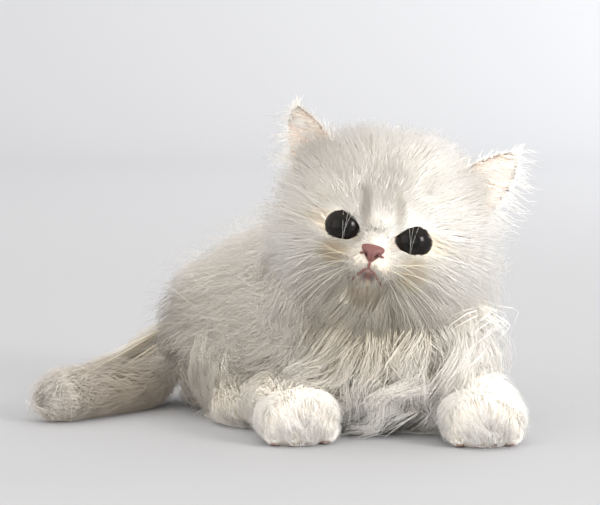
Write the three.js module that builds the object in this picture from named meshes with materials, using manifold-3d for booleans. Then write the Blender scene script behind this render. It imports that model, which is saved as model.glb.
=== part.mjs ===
// Persian kitten lying on its chest, head raised and tilted, tail laid out on the floor.
// Millimetres, +Z up. The kitten faces -Y, its own left side is +X, and the floor is Z = 0.
// Every form of the body has layers: the skin, the dense core of the coat, and the coat's tips.
// The flesh and core are solid, and the long coat over them is flat, tapered locks.

import * as THREE from 'three';
import { mergeVertices } from 'three/addons/utils/BufferGeometryUtils.js';
import Module from 'manifold-3d';

const wasm = await Module();
wasm.setup();

// Layers of the coat, as shares of its depth over the skin
const CORE = 0.5;
const TIPS = 1;

// Gap between neighbouring parts, and share of the coat's depth left where it is lain on
const GAP = 0.3;
const PRESSED = 0.25;

// Squareness of the body's sections, where 2 is an ellipse
const SQUARENESS = 2.2;

// Placing of the head: the middle between the eyes, and how the face is turned
const EYE_HEIGHT = 96;
const HEAD_YAW = 6.5;
const HEAD_PITCH = 6;
const HEAD_ROLL = 11.9;

// Head, measured from the middle between the eyes: across, up and out of the face
const SKULL = {
  across: 30, up: 32, down: 36, front: 27, back: 30, lift: 4, depth: 27, squareness: 2.4, noseDrop: 24,
};
const HEAD_COAT = { face: 2, side: 24, top: 14, bottom: 14, back: 14, faceEdge: 42, longFrom: 88 };
const FACE_FINENESS = 0.45;

// Relief of the face: rounded swellings and dents, each with its place, spread and height
const MIDDLE_RELIEF = [
  { name: 'muzzle', height: -13.5, wide: 12.5, tall: 9.5, rise: 9.5 },
  { name: 'bridge', height: -3, wide: 4.5, tall: 4, rise: 3.4 },
  { name: 'chin', height: -25, wide: 7, tall: 4.5, rise: 7 },
  { name: 'crease', height: 2, wide: 3, tall: 2, rise: -1.6 },
];
const PAIRED_RELIEF = [
  { name: 'whisker pad', across: 6.5, height: -15, wide: 5, tall: 5, rise: 2.6 },
  { name: 'brow', across: 14, height: 11, wide: 9, tall: 4.5, rise: 2 },
  { name: 'cheek', across: 17, height: -14, wide: 8, tall: 7, rise: 3.5 },
  { name: 'temple', across: 24, height: 0, wide: 9, tall: 11, rise: 6 },
];

// Eyes and lids
const EYE = { spread: 16, radius: 9.6, depth: 7.4, back: 1 };
const LID = { across: 7.5, up: 6.1, thickness: 1.7 };

// Nose leather, mouth line, lips and chin
const NOSE = { height: -8.4, front: 7.6, across: 6.6, up: 4, depth: 3.4, taper: 0.45 };
const NOSTRIL = { across: 2, height: -9.2, radius: 0.9, reach: 2.8, rise: 0.8, inner: 3.2, outer: 1 };
const MOUTH = { top: -16.2, cornerAcross: 6.3, cornerHeight: -23.6, slope: 1.4 };
const JAW = { across: 11, height: -29, low: -43, depth: 14, reach: 40 };
const LIP = { thickness: 0.8, offset: 1 };
const PHILTRUM = { top: -12, thickness: 0.5 };

// Ears
const EAR = {
  across: 33, up: 21, depth: -22, lean: 35, turn: 24, height: 39, root: 6, width: 15, cup: 8, shell: 2,
  hair: 7,
};

// Spine, from the shoulders to the rump: places on the floor plan, then sizes of the coated body
const SPINE = [
  { at: [2, 46, 40], wide: 52, up: 62, down: 43, coat: 18 },
  { at: [-8, 64, 42], wide: 54, up: 68, down: 46, coat: 18 },
  { at: [-26, 84, 41], wide: 53, up: 63, down: 45, coat: 18 },
  { at: [-48, 105, 38], wide: 50, up: 56, down: 42, coat: 18 },
  { at: [-67, 121, 35], wide: 47, up: 48, down: 39, coat: 18 },
];
const SPINE_CAPS = [20, 36];
const TORSO_END = 0.56;
const RUMP_START = 0.5625;

// Neck with its ruff, from under the skull down to the shoulders
const NECK = [
  { at: [3, 36, 106], wide: 44, up: 12, down: 36, coat: 20 },
  { at: [3, 40, 90], wide: 54, up: 24, down: 38, coat: 24 },
  { at: [2, 45, 72], wide: 59, up: 42, down: 40, coat: 26 },
  { at: [-1, 51, 54], wide: 57, up: 46, down: 38, coat: 24 },
];
const NECK_CAPS = [20, 24];

// Chest, from the throat down to the floor
const CHEST = [
  { at: [4, 43, 70], wide: 54, up: 40, down: 26, coat: 22 },
  { at: [5, 42, 48], wide: 55, up: 44, down: 24, coat: 22 },
  { at: [5, 42, 26], wide: 50, up: 38, down: 22, coat: 20 },
  { at: [4, 42, 10], wide: 42, up: 26, down: 20, coat: 16 },
];
const CHEST_CAPS = [26, 14];

// Forelegs from elbow to wrist, then the paws with their toes
const FORELEG_RIGHT = [
  { at: [-44, 58, 19], wide: 21, up: 17, down: 21, coat: 10 },
  { at: [-42, 36, 16], wide: 21, up: 15, down: 18, coat: 10 },
  { at: [-38, 14, 14], wide: 20, up: 13, down: 16, coat: 8 },
];
const FORELEG_LEFT = [
  { at: [40, 54, 19], wide: 21, up: 16, down: 21, coat: 10 },
  { at: [45, 32, 16], wide: 21, up: 14, down: 18, coat: 10 },
  { at: [47, 10, 14], wide: 20, up: 13, down: 16, coat: 8 },
];
const ELBOW_CAP = 18;
const PAW = { length: 15, overlap: 3, tipHeight: 11, wide: 18, up: 12.5, down: 14, coat: 3, cap: 10 };
const TOES = { count: 4, spread: 11, ahead: 5, setBack: 3.5, height: 8.5, wide: 5.4, long: 8.5, tall: 8 };

// Hind legs, placed beside the spine: share of its length, offset to the side, height
const THIGH = {
  hip: { along: 0.98, aside: 26, height: 32, wide: 22, up: 30, down: 34, coat: 14 },
  knee: { along: 0.62, aside: 34, height: 22, wide: 22, up: 26, down: 24, coat: 14 },
  cap: 16,
};
const HINDPAW = {
  heel: { along: 0.68, aside: 42, height: 9, wide: 14, up: 13, down: 11, coat: 6 },
  toes: { along: 0.46, aside: 47, height: 8, wide: 14, up: 11, down: 10, coat: 5 },
  cap: 11,
};

// Tail, from the rump round the haunch and out along the floor
const TAIL = [
  { at: [-92, 132, 40], wide: 14, up: 14, down: 14, coat: 10 },
  { at: [-106, 122, 26], wide: 15, up: 15, down: 15, coat: 10 },
  { at: [-115, 104, 15], wide: 15, up: 14, down: 17, coat: 10 },
  { at: [-131, 83, 13], wide: 14.5, up: 13.5, down: 15, coat: 10 },
  { at: [-150, 63, 12.5], wide: 13.5, up: 13, down: 14.5, coat: 9 },
];
const TAIL_CAPS = [12, 14];
const TAIL_CUTS = [0.42, 0.74];
const TAIL_GAP_SHARE = 0.003;

// Make of a lock: steps from root to tip, how deep it is rooted, how soon it rises, how far its edges
// droop and its flat side lies below its middle, its width at the root, where it is widest, how it
// tapers and thins out, the least radius that it turns round, and its clearance over the floor
const LOCK = {
  steps: 3, sink: 2.2, rise: 0.75, droop: 0.22, low: 0.3, rootWidth: 0.65, fullAt: 0.3, taper: 2.8,
  thinning: 0.7, turning: 5, clearance: 0.5,
};

// Least share of a lock that is rooted in its core, and that is kept where it is cut clear of its
// neighbours, then the lengths and reaches tried for each
const ROOTED = 0.08;
const KEPT = 0.4;
const LOCK_TRIES = [
  { length: 1, reach: 1 },
  { length: 0.9, reach: 0.85 },
  { length: 0.75, reach: 0.7 },
  { length: 0.55, reach: 0.6 },
];
const JITTER = { place: 0.3, size: 0.2, turn: 0.22 };
const RANDOM = { seed: 20, factor: 16807, modulus: 2147483647 };

// Where locks grow on each form: ranges of shares and of angles, rows and spacing between locks,
// then their length, width, thickness, droop towards the floor and waviness
const LOCKS = {
  ear: {
    from: 0.15, to: 0.75, rows: 2, arc: [-40, 40], spacing: 12,
    length: 17, width: 8, thick: 1.8, droop: 0, wave: 0.2,
  },
  head: {
    from: 0.42, to: 0.86, rows: 4, arc: [0, 360], spacing: 21,
    length: 30, width: 24, thick: 4.5, droop: 0.4, wave: 0.2,
  },
  neck: {
    from: -0.2, to: 0.9, rows: 2, arc: [-90, 270], spacing: 27,
    length: 38, width: 29, thick: 5, droop: 0, wave: 0.3,
  },
  chest: {
    from: 0.08, to: 0.96, rows: 4, arc: [0, 180], spacing: 21,
    length: 30, width: 22, thick: 4.5, droop: 0, wave: 0.6,
  },
  torso: {
    from: 0, to: 0.54, rows: 3, arc: [-30, 210], spacing: 29,
    length: 38, width: 28, thick: 5, droop: 0.7, wave: 0.2,
  },
  rump: {
    from: 0.58, to: 1.6, rows: 4, arc: [-30, 210], spacing: 28,
    length: 38, width: 28, thick: 5, droop: 0.7, wave: 0.2,
  },
  foreleg: {
    from: -0.2, to: 0.9, rows: 2, arc: [0, 180], spacing: 22,
    length: 24, width: 19, thick: 3.5, droop: 0.5, wave: 0.2,
  },
  thigh: {
    from: -0.1, to: 1.1, rows: 2, arc: [-20, 200], spacing: 24,
    length: 32, width: 25, thick: 4.5, droop: 0.6, wave: 0.2,
  },
  hindpaw: {
    from: -0.2, to: 0.5, rows: 1, arc: [10, 170], spacing: 19,
    length: 17, width: 16, thick: 3, droop: 0.3, wave: 0.1,
  },
  tail_base: {
    from: 0, to: 0.34, rows: 1, arc: [-10, 190], spacing: 15,
    length: 30, width: 18, thick: 4, droop: 0.3, wave: 0.2,
  },
  tail_middle: {
    from: 0.44, to: 0.66, rows: 1, arc: [-30, 210], spacing: 14,
    length: 26, width: 16, thick: 4, droop: 0.3, wave: 0.2,
  },
  tail_tip: {
    from: 0.76, to: 1.1, rows: 2, arc: [-30, 210], spacing: 14,
    length: 25, width: 15, thick: 4, droop: 0.2, wave: 0.2,
  },
};

// Rings along and points around each form's surface
const MESH = {
  head: { from: 0, to: 1, rings: 19, around: 28 },
  neck: { from: -1, to: 2, rings: 8, around: 20 },
  chest: { from: -1, to: 2, rings: 9, around: 22 },
  torso: { from: -1, to: TORSO_END, rings: 8, around: 24 },
  rump: { from: RUMP_START, to: 2, rings: 7, around: 24 },
  leg: { from: -1, to: 1, rings: 6, around: 14 },
  paw: { from: 0, to: 2, rings: 5, around: 12 },
  hind: { from: -1, to: 2, rings: 7, around: 12 },
};
const TAIL_RINGS = [5, 3, 5];
const TAIL_AROUND = 14;

// Finishes
const COLOURS = {
  coat: 0xf0ece4,
  shade: 0xe2dccf,
  ear: 0xe6cfc2,
  eye: 0x171310,
  leather: 0xa9766f,
};
const ROUGHNESS = { coat: 0.9, leather: 0.5, eye: 0.1 };

const radians = THREE.MathUtils.degToRad;
const { lerp, smoothstep } = THREE.MathUtils;

// Seeded random numbers, spread evenly from -1 to 1
let randomState = RANDOM.seed;
function random() {
  randomState = (randomState * RANDOM.factor) % RANDOM.modulus;
  return 2 * randomState / RANDOM.modulus - 1;
}

// Value of a smooth curve through a list of numbers; share runs from 0 to 1 over the list.
function along(values, share) {
  const last = values.length - 1;
  const index = Math.min(Math.max(Math.floor(share * last), 0), last - 1);
  const t = share * last - index;
  const value = (step) => values[Math.min(Math.max(index + step, 0), last)];
  const [a, b, c, d] = [value(-1), value(0), value(1), value(2)];
  return b + 0.5 * t * (c - a + t * (2 * a - 5 * b + 4 * c - d + t * (3 * (b - c) + d - a)));
}

// Point of a rounded section, a superellipse with its own reach up and down.
function sectionPoint(angle, wide, up, down) {
  const power = 2 / SQUARENESS;
  const x = Math.sign(Math.cos(angle)) * Math.abs(Math.cos(angle)) ** power;
  const y = Math.sign(Math.sin(angle)) * Math.abs(Math.sin(angle)) ** power;
  return [x * wide, y * (y > 0 ? up : down)];
}

// A limb or trunk: sections along a path, with round ends that reach past it.
// Share 0 to 1 runs along the path, -1 to 0 over the first end and 1 to 2 over the last.
class Sweep {
  ends = [-1, 2];

  constructor({ stations, caps, top = [0, 0, 1] }) {
    this.places = [0, 1, 2].map((axis) => stations.map((station) => station.at[axis]));
    this.sizes = {};
    for (const size of ['wide', 'up', 'down', 'coat']) {
      this.sizes[size] = stations.map((station) => station[size]);
    }
    this.caps = caps;
    this.top = new THREE.Vector3(...top);
  }

  centre(share) {
    return new THREE.Vector3(...this.places.map((values) => along(values, share)));
  }

  tangent(share) {
    const step = 0.01;
    const from = Math.max(share - step, 0);
    const to = Math.min(share + step, 1);
    return this.centre(to).sub(this.centre(from)).normalize();
  }

  point(share, angle, layer, extra = 0) {
    const inside = Math.min(Math.max(share, 0), 1);
    const size = (name) => along(this.sizes[name], inside);
    const depth = size('coat') * (layer - 1);
    const reach = depth + extra;
    const turn = (share < 0 ? share : Math.max(share - 1, 0)) * Math.PI / 2;
    const shrink = Math.cos(turn);
    const cap = (share < 0 ? this.caps[0] : this.caps[1]) + reach;
    const tangent = this.tangent(inside);
    const side = tangent.clone().cross(this.top).normalize();
    const up = side.clone().cross(tangent);
    const [across, rise] = sectionPoint(
      angle,
      (size('wide') + reach) * shrink,
      (size('up') + reach) * shrink,
      (size('down') + depth * PRESSED + extra) * shrink,
    );
    return this.centre(inside)
      .addScaledVector(tangent, cap * Math.sin(turn))
      .addScaledVector(side, across)
      .addScaledVector(up, rise);
  }
}

// Turn of the head: its axes run across the face, up the face and out of the face.
function headTurn() {
  const yaw = radians(HEAD_YAW);
  const pitch = radians(HEAD_PITCH);
  const out = new THREE.Vector3(
    -Math.sin(yaw) * Math.cos(pitch),
    -Math.cos(yaw) * Math.cos(pitch),
    Math.sin(pitch),
  );
  const across = new THREE.Vector3(0, 0, 1).cross(out).normalize();
  const up = out.clone().cross(across);
  return new THREE.Matrix4()
    .makeBasis(across, up, out)
    .multiply(new THREE.Matrix4().makeRotationZ(-radians(HEAD_ROLL)));
}

const HEAD_PLACE = new THREE.Matrix4().makeTranslation(0, 0, EYE_HEIGHT).multiply(headTurn());
const headPoint = (across, up, out) => new THREE.Vector3(across, up, out).applyMatrix4(HEAD_PLACE);

function faceRelief(across, height) {
  const swelling = (mark, side) => {
    const x = (across - side * (mark.across ?? 0)) / mark.wide;
    const y = (height - mark.height) / mark.tall;
    return mark.rise * Math.exp(-x * x - y * y);
  };
  const middle = MIDDLE_RELIEF.reduce((sum, mark) => sum + swelling(mark, 0), 0);
  return PAIRED_RELIEF.reduce((sum, mark) => sum + swelling(mark, -1) + swelling(mark, 1), middle);
}

// The head: share 0 is the nose and 1 the back of the head, and the coat lies that way too.
class HeadForm {
  ends = [0, 1];

  point(share, angle, layer, extra = 0) {
    const polar = Math.PI * share * (FACE_FINENESS + (1 - FACE_FINENESS) * share);
    const drop = radians(SKULL.noseDrop);
    const across = Math.sin(polar) * Math.cos(angle);
    const rise = Math.sin(polar) * Math.sin(angle);
    const up = rise * Math.cos(drop) - Math.cos(polar) * Math.sin(drop);
    const out = rise * Math.sin(drop) + Math.cos(polar) * Math.cos(drop);
    const part = (value, size) => Math.abs(value / size) ** SKULL.squareness;
    const radius = (
      part(across, SKULL.across)
      + part(up, up > 0 ? SKULL.up : SKULL.down)
      + part(out, out > 0 ? SKULL.front : SKULL.back)
    ) ** (-1 / SKULL.squareness);
    const long = smoothstep(Math.acos(out), radians(HEAD_COAT.faceEdge), radians(HEAD_COAT.longFrom));
    const rim = HEAD_COAT.side * across * across
      + (up > 0 ? HEAD_COAT.top : HEAD_COAT.bottom) * up * up
      + (out > 0 ? HEAD_COAT.top : HEAD_COAT.back) * out * out;
    const coat = lerp(HEAD_COAT.face, rim, long);
    const length = radius + coat * layer + extra;
    const relief = faceRelief(radius * across, SKULL.lift + radius * up);
    return headPoint(
      length * across,
      SKULL.lift + length * up,
      length * out - SKULL.depth + smoothstep(out, 0, 0.4) * relief,
    );
  }
}

// Cup of an ear: share runs from its root to its tip, and angle from one edge to the other.
// The hair in the cup is its coat, so the layers above the core lie in front of it.
class EarForm {
  ends = [0, 1];

  constructor(side) {
    this.side = side;
    this.turn = new THREE.Matrix4().makeRotationZ(-side * radians(EAR.lean))
      .multiply(new THREE.Matrix4().makeRotationY(side * radians(EAR.turn)));
  }

  point(share, angle, layer, extra = 0) {
    const x = Math.sin(angle);
    const half = EAR.width * Math.sqrt(Math.max(1 - Math.max(share, 0) ** 1.3, 0.012));
    const cup = EAR.cup * (1 - x * x) * (1 - 0.75 * share);
    const hair = EAR.hair * (layer - CORE) / (TIPS - CORE);
    const place = new THREE.Vector3(x * half, EAR.height * share - EAR.root, hair - cup + extra);
    place.applyMatrix4(this.turn);
    return headPoint(this.side * EAR.across + place.x, EAR.up + place.y, EAR.depth + place.z);
  }

  // Depth of the thin shell behind the cup
  shell(share, angle) {
    return EAR.shell * (1 - 0.6 * Math.sin(angle) ** 2) * (1 - 0.4 * share);
  }
}

function indexedGeometry(points, faces) {
  const geometry = new THREE.BufferGeometry();
  const numbers = points.flatMap((point) => point.toArray());
  geometry.setAttribute('position', new THREE.Float32BufferAttribute(numbers, 3));
  geometry.setIndex(faces);
  return geometry;
}

// Closed surface from rings of points. Each end is closed by a point, or flat where it is null.
function ringGeometry(rings, first, last) {
  const around = rings[0].length;
  const points = rings.flat();
  const faces = [];
  const index = (ring, step) => ring * around + (step % around);
  for (let ring = 0; ring < rings.length - 1; ring += 1) {
    for (let step = 0; step < around; step += 1) {
      const [a, b] = [index(ring, step), index(ring, step + 1)];
      const [c, d] = [index(ring + 1, step), index(ring + 1, step + 1)];
      faces.push(a, b, d, a, d, c);
    }
  }
  const close = (ring, point, isFirst) => {
    const apex = point ? points.push(point) - 1 : index(ring, 0);
    const skipped = point ? 0 : 1;
    for (let step = skipped; step < around - skipped; step += 1) {
      const [a, b] = [index(ring, step), index(ring, step + 1)];
      faces.push(apex, isFirst ? b : a, isFirst ? a : b);
    }
  };
  close(0, first, true);
  close(rings.length - 1, last, false);
  return indexedGeometry(points, faces);
}

function solidFrom(geometry) {
  geometry.deleteAttribute('normal');
  geometry.deleteAttribute('uv');
  const merged = mergeVertices(geometry, 1e-4);
  const build = (triVerts) => new wasm.Manifold(new wasm.Mesh({
    numProp: 3,
    vertProperties: new Float32Array(merged.attributes.position.array),
    triVerts,
  }));
  const faces = new Uint32Array(merged.index.array);
  const solid = build(faces);
  if (solid.volume() > 0) return solid;
  return build(faces.map((_, i) => faces[i + [0, 1, -1][i % 3]]));
}

// Joining and cutting of solids
const largest = (solid) => solid.decompose().sort((a, b) => b.volume() - a.volume())[0];
const cut = (solid, ...others) => largest(others.reduce((rest, other) => rest.subtract(other), solid));
const join = (...solids) => solids.reduce((sum, solid) => sum.add(solid));

// Solid of a form between two shares. A share that is no end of the form gives a flat face there.
// Extra grows the solid on every side, for the room that its neighbours leave it.
function formSolid(form, { from, to, rings, around, extra = 0 }) {
  const shares = Array.from({ length: rings + 1 }, (_, i) => lerp(from, to, i / rings));
  const loops = shares.filter((share) => !form.ends.includes(share)).map((share) => Array.from(
    { length: around },
    (_, i) => form.point(share, 2 * Math.PI * i / around, CORE, extra),
  ));
  const close = (share, loop, way) => {
    if (form.ends.includes(share)) return form.point(share, 0, CORE, extra);
    loop.forEach((point) => point.addScaledVector(form.tangent(share), way * extra));
    return loop.reduce((sum, point) => sum.add(point), new THREE.Vector3()).divideScalar(around);
  };
  return solidFrom(ringGeometry(loops, close(from, loops[0], -1), close(to, loops.at(-1), 1)));
}

// Round bar along a curve through points
function bar(points, thickness) {
  const outline = new THREE.Shape();
  outline.absarc(0, 0, thickness, 0, 2 * Math.PI, false);
  return solidFrom(new THREE.ExtrudeGeometry(outline, {
    extrudePath: new THREE.CatmullRomCurve3(points),
    steps: points.length - 1,
    curveSegments: 3,
    bevelEnabled: false,
  }));
}

// Places that a lock passes from its root to its tip. It follows the lie of the coat over its form
// and rises from within the core to the tips of the coat.
function lockPlaces(form, root, { length, reach, lie, droop, wave }) {
  const nudge = 0.001;
  let { share, angle } = root;
  return Array.from({ length: LOCK.steps + 1 }, (_, step) => {
    const t = step / LOCK.steps;
    const rise = Math.sin(t * Math.PI / 2) ** LOCK.rise;
    const layer = lerp(CORE, reach, rise);
    const surface = form.point(share, angle, layer);
    const at = form.point(share, angle, layer, -LOCK.sink * (1 - rise));
    const outwards = form.point(share, angle, layer, 1).sub(surface).normalize();
    const ahead = form.point(share + nudge, angle, layer).distanceTo(surface);
    const aside = form.point(share, angle + nudge, layer).distanceTo(surface);
    const turn = lie - droop * Math.cos(angle) + wave * Math.sin(2 * Math.PI * t);
    const stride = nudge * length / LOCK.steps;
    share += stride * Math.cos(turn) / Math.max(ahead, nudge);
    angle += stride * Math.sin(turn) / Math.max(aside, nudge * LOCK.turning);
    return { at, outwards, t };
  });
}

// Solid of a lock, flat below and ridged above. Margin makes it larger on every side, with an edge
// as thick as the margin on either side of it.
function lockSolid(places, { width, thick }, margin = 0) {
  const heading = (i) => places[i + 1].at.clone().sub(places[Math.max(i - 1, 0)].at).normalize();
  const edge = margin > 0 ? [-margin, margin] : [0];
  const rings = places.slice(0, -1).map(({ at, outwards, t }, i) => {
    const side = heading(i).cross(outwards).normalize();
    const up = side.clone().cross(heading(i));
    const corner = (across, rise) => at.clone().addScaledVector(side, across).addScaledVector(up, rise);
    const spread = lerp(LOCK.rootWidth, 1, Math.min(t / LOCK.fullAt, 1));
    const half = 0.5 * width * spread * (1 - t ** LOCK.taper);
    const height = thick * (1 - LOCK.thinning * t);
    const low = -LOCK.low * height - LOCK.droop * half;
    return [
      ...edge.map((rise) => corner(half + margin, low + rise)),
      corner(0, (1 - LOCK.low) * height + margin),
      ...edge.map((rise) => corner(-half - margin, low - rise)),
    ];
  });
  rings[0].forEach((point) => point.addScaledVector(heading(0), -margin));
  const tip = places.at(-1).at.clone().addScaledVector(heading(places.length - 2), margin);
  return solidFrom(ringGeometry(rings, null, tip));
}

function boxesMeet(a, b) {
  const [first, second] = [a.boundingBox(), b.boundingBox()];
  return [0, 1, 2].every((axis) => first.min[axis] < second.max[axis] && second.min[axis] < first.max[axis]);
}

const meets = (a, b) => boxesMeet(a, b) && !a.intersect(b).isEmpty();

// The longest lock of a root that clears the floor and the bare parts, cut clear of the cores and
// locks of its neighbours, with its own room, or null where too little of it is left or rooted
function clearLock(core, form, root, shape, bare, rooms) {
  for (const { length, reach } of LOCK_TRIES) {
    const places = lockPlaces(form, root, {
      ...shape,
      length: shape.length * length,
      reach: lerp(CORE, TIPS, reach),
    });
    const around = lockSolid(places, shape, GAP);
    const clearsFloor = around.boundingBox().min[2] > LOCK.clearance;
    if (clearsFloor && !bare.some((part) => meets(around, part))) {
      const whole = lockSolid(places, shape);
      const lock = cut(whole, ...rooms.filter((other) => meets(whole, other)));
      const kept = lock ? lock.volume() / whole.volume() : 0;
      const rooted = kept > KEPT ? core.intersect(lock).volume() / whole.volume() : 0;
      if (rooted > ROOTED) return { lock, around };
    }
  }
  return null;
}

// Locks over a core, row after row like shingles
function growLocks(core, form, plan, bare, rooms) {
  const [start, stop] = plan.arc.map(radians);
  const rowStep = (plan.to - plan.from) / plan.rows;
  const girth = (share) => {
    const count = 12;
    const angles = Array.from({ length: count + 1 }, (_, i) => lerp(start, stop, i / count));
    const points = angles.map((angle) => form.point(share, angle, CORE));
    return points.slice(1).reduce((sum, point, i) => sum + point.distanceTo(points[i]), 0);
  };
  const locks = [];
  for (let row = 0; row < plan.rows; row += 1) {
    const share = plan.from + (row + 0.5) * rowStep;
    const count = Math.max(2, Math.round(girth(share) / plan.spacing));
    for (let i = 0; i < count; i += 1) {
      const place = (i + 0.25 + 0.5 * (row % 2) + JITTER.place * random()) / count;
      const root = { share: share + JITTER.place * rowStep * random(), angle: lerp(start, stop, place) };
      const scale = 1 + JITTER.size * random();
      const shape = {
        ...plan,
        length: plan.length * scale,
        width: plan.width * scale,
        lie: JITTER.turn * random(),
        wave: plan.wave * random(),
      };
      const grown = clearLock(core, form, root, shape, bare, rooms);
      if (grown) locks.push(grown);
    }
  }
  return locks;
}

// Floor, as a block that everything is cut level by
const floor = solidFrom(new THREE.BoxGeometry(600, 600, 100).translate(0, 0, -50));

// Forms of the body
const head = new HeadForm();
const ears = { right: new EarForm(-1), left: new EarForm(1) };
const trunk = new Sweep({ stations: SPINE, caps: SPINE_CAPS });
const neck = new Sweep({ stations: NECK, caps: NECK_CAPS, top: [0, -1, 0] });
const chest = new Sweep({ stations: CHEST, caps: CHEST_CAPS, top: [0, -1, 0] });
const tail = new Sweep({ stations: TAIL, caps: TAIL_CAPS });
const foreleg = (stations) => new Sweep({ stations, caps: [ELBOW_CAP, 0] });

// A forepaw carries on from its foreleg
function forepaw(stations) {
  const [before, wrist] = stations.slice(-2).map((station) => new THREE.Vector3(...station.at));
  const ahead = wrist.clone().sub(before).setZ(0).normalize();
  const { length, overlap, tipHeight, cap, ...sizes } = PAW;
  const start = wrist.clone().addScaledVector(ahead, -overlap);
  const tip = wrist.clone().addScaledVector(ahead, length).setZ(tipHeight);
  return new Sweep({
    stations: [{ at: start.toArray(), ...sizes }, { at: tip.toArray(), ...sizes }],
    caps: [0, cap],
  });
}

// Place beside the spine: share of its length, offset towards the kitten's own left, height
function beside(share, aside, height) {
  const tangent = trunk.tangent(share);
  const left = new THREE.Vector3(tangent.y, -tangent.x, 0).normalize();
  const place = trunk.centre(share).addScaledVector(left, aside);
  return [place.x, place.y, height];
}

function hindForm(side, first, last, cap) {
  const station = ({ along: share, aside, height, ...sizes }) => ({
    at: beside(share, side * aside, height),
    ...sizes,
  });
  return new Sweep({ stations: [station(first), station(last)], caps: [cap, cap] });
}

const limbs = {
  foreleg_right: foreleg(FORELEG_RIGHT),
  foreleg_left: foreleg(FORELEG_LEFT),
  forepaw_right: forepaw(FORELEG_RIGHT),
  forepaw_left: forepaw(FORELEG_LEFT),
  thigh_right: hindForm(-1, THIGH.hip, THIGH.knee, THIGH.cap),
  thigh_left: hindForm(1, THIGH.hip, THIGH.knee, THIGH.cap),
  hindpaw_right: hindForm(-1, HINDPAW.heel, HINDPAW.toes, HINDPAW.cap),
  hindpaw_left: hindForm(1, HINDPAW.heel, HINDPAW.toes, HINDPAW.cap),
};

const inHead = (geometry) => solidFrom(geometry.applyMatrix4(HEAD_PLACE));

// The eye is the front of a ball with a flat back, looking out of the face.
function eyeSolid(side, extra) {
  const radius = EYE.radius + extra;
  const back = EYE.back - extra;
  const steps = 5;
  const rim = Math.acos(back / radius);
  const profile = Array.from({ length: steps + 1 }, (_, i) => {
    const arc = rim * i / steps;
    return new THREE.Vector2(i > 0 ? radius * Math.sin(arc) : 0, radius * Math.cos(arc));
  });
  profile.push(new THREE.Vector2(0, back));
  const geometry = new THREE.LatheGeometry(profile, 16);
  geometry.rotateX(Math.PI / 2);
  geometry.translate(side * EYE.spread, 0, -EYE.depth);
  return inHead(geometry);
}

// Lids: a thin cover over the ball, and the round opening between them
function lidSolid(side) {
  const geometry = new THREE.SphereGeometry(EYE.radius + LID.thickness, 16, 10);
  geometry.translate(side * EYE.spread, 0, -EYE.depth);
  return inHead(geometry);
}

function lidOpening(side) {
  const outline = new THREE.Shape();
  outline.absellipse(0, 0, LID.across, LID.up, 0, 2 * Math.PI, false);
  const depth = 2 * EYE.radius;
  const geometry = new THREE.ExtrudeGeometry(outline, { depth, curveSegments: 6, bevelEnabled: false });
  geometry.translate(side * EYE.spread, 0, -EYE.depth);
  return inHead(geometry);
}

// Nose leather: a low rounded wedge, narrower below
function noseSolid(extra) {
  const halves = [NOSE.across, NOSE.up, NOSE.depth].map((half) => half + extra);
  const geometry = new THREE.SphereGeometry(1, 12, 7);
  geometry.scale(...halves);
  const position = geometry.attributes.position;
  for (let i = 0; i < position.count; i += 1) {
    const low = Math.max(-position.getY(i) / halves[1], 0);
    position.setX(i, position.getX(i) * (1 - NOSE.taper * low));
  }
  geometry.translate(0, NOSE.height, NOSE.front);
  return inHead(geometry);
}

function nostrilSolid(side) {
  const inner = headPoint(side * NOSTRIL.across, NOSTRIL.height, NOSE.front + NOSTRIL.inner);
  const outer = headPoint(
    side * (NOSTRIL.across + NOSTRIL.reach),
    NOSTRIL.height + NOSTRIL.rise,
    NOSE.front + NOSTRIL.outer,
  );
  return bar([inner, outer], NOSTRIL.radius);
}

// Point on the face at a place across it and up it, reached by steps from near the nose
function onFace([across, height]) {
  const inverse = HEAD_PLACE.clone().invert();
  const goal = new THREE.Vector2(across, height);
  const polar = new THREE.Vector2(0, 0.1);
  const surface = () => head.point(polar.length(), polar.angle(), CORE);
  for (let i = 0; i < 30; i += 1) {
    const error = goal.clone().sub(surface().applyMatrix4(inverse));
    polar.addScaledVector(error, 0.5 / SKULL.across);
  }
  return surface();
}

// The jaw is what lies below the line of the mouth.
function jawPrism(extra) {
  const leftEdge = [
    [MOUTH.cornerAcross, MOUTH.cornerHeight],
    [JAW.across, JAW.height],
    [JAW.across, JAW.low],
  ];
  const outline = new THREE.Shape();
  outline.moveTo(0, MOUTH.top + MOUTH.slope * extra);
  leftEdge.forEach(([x, y]) => outline.lineTo(x + extra, y + extra));
  leftEdge.reverse().forEach(([x, y]) => outline.lineTo(-x - extra, y + extra));
  outline.closePath();
  const geometry = new THREE.ExtrudeGeometry(outline, { depth: JAW.reach, bevelEnabled: false });
  geometry.translate(0, 0, -JAW.depth - extra);
  return inHead(geometry);
}

// A lip runs along the line of the mouth, offset to one side of it.
function lipSolid(offset) {
  const corner = [MOUTH.cornerAcross, MOUTH.cornerHeight + offset];
  const half = [MOUTH.cornerAcross / 2, (MOUTH.top + MOUTH.cornerHeight) / 2 + offset];
  const mirrored = ([x, y]) => [-x, y];
  const line = [mirrored(corner), mirrored(half), [0, MOUTH.top + offset], half, corner];
  return bar(line.map(onFace), LIP.thickness);
}

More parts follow.
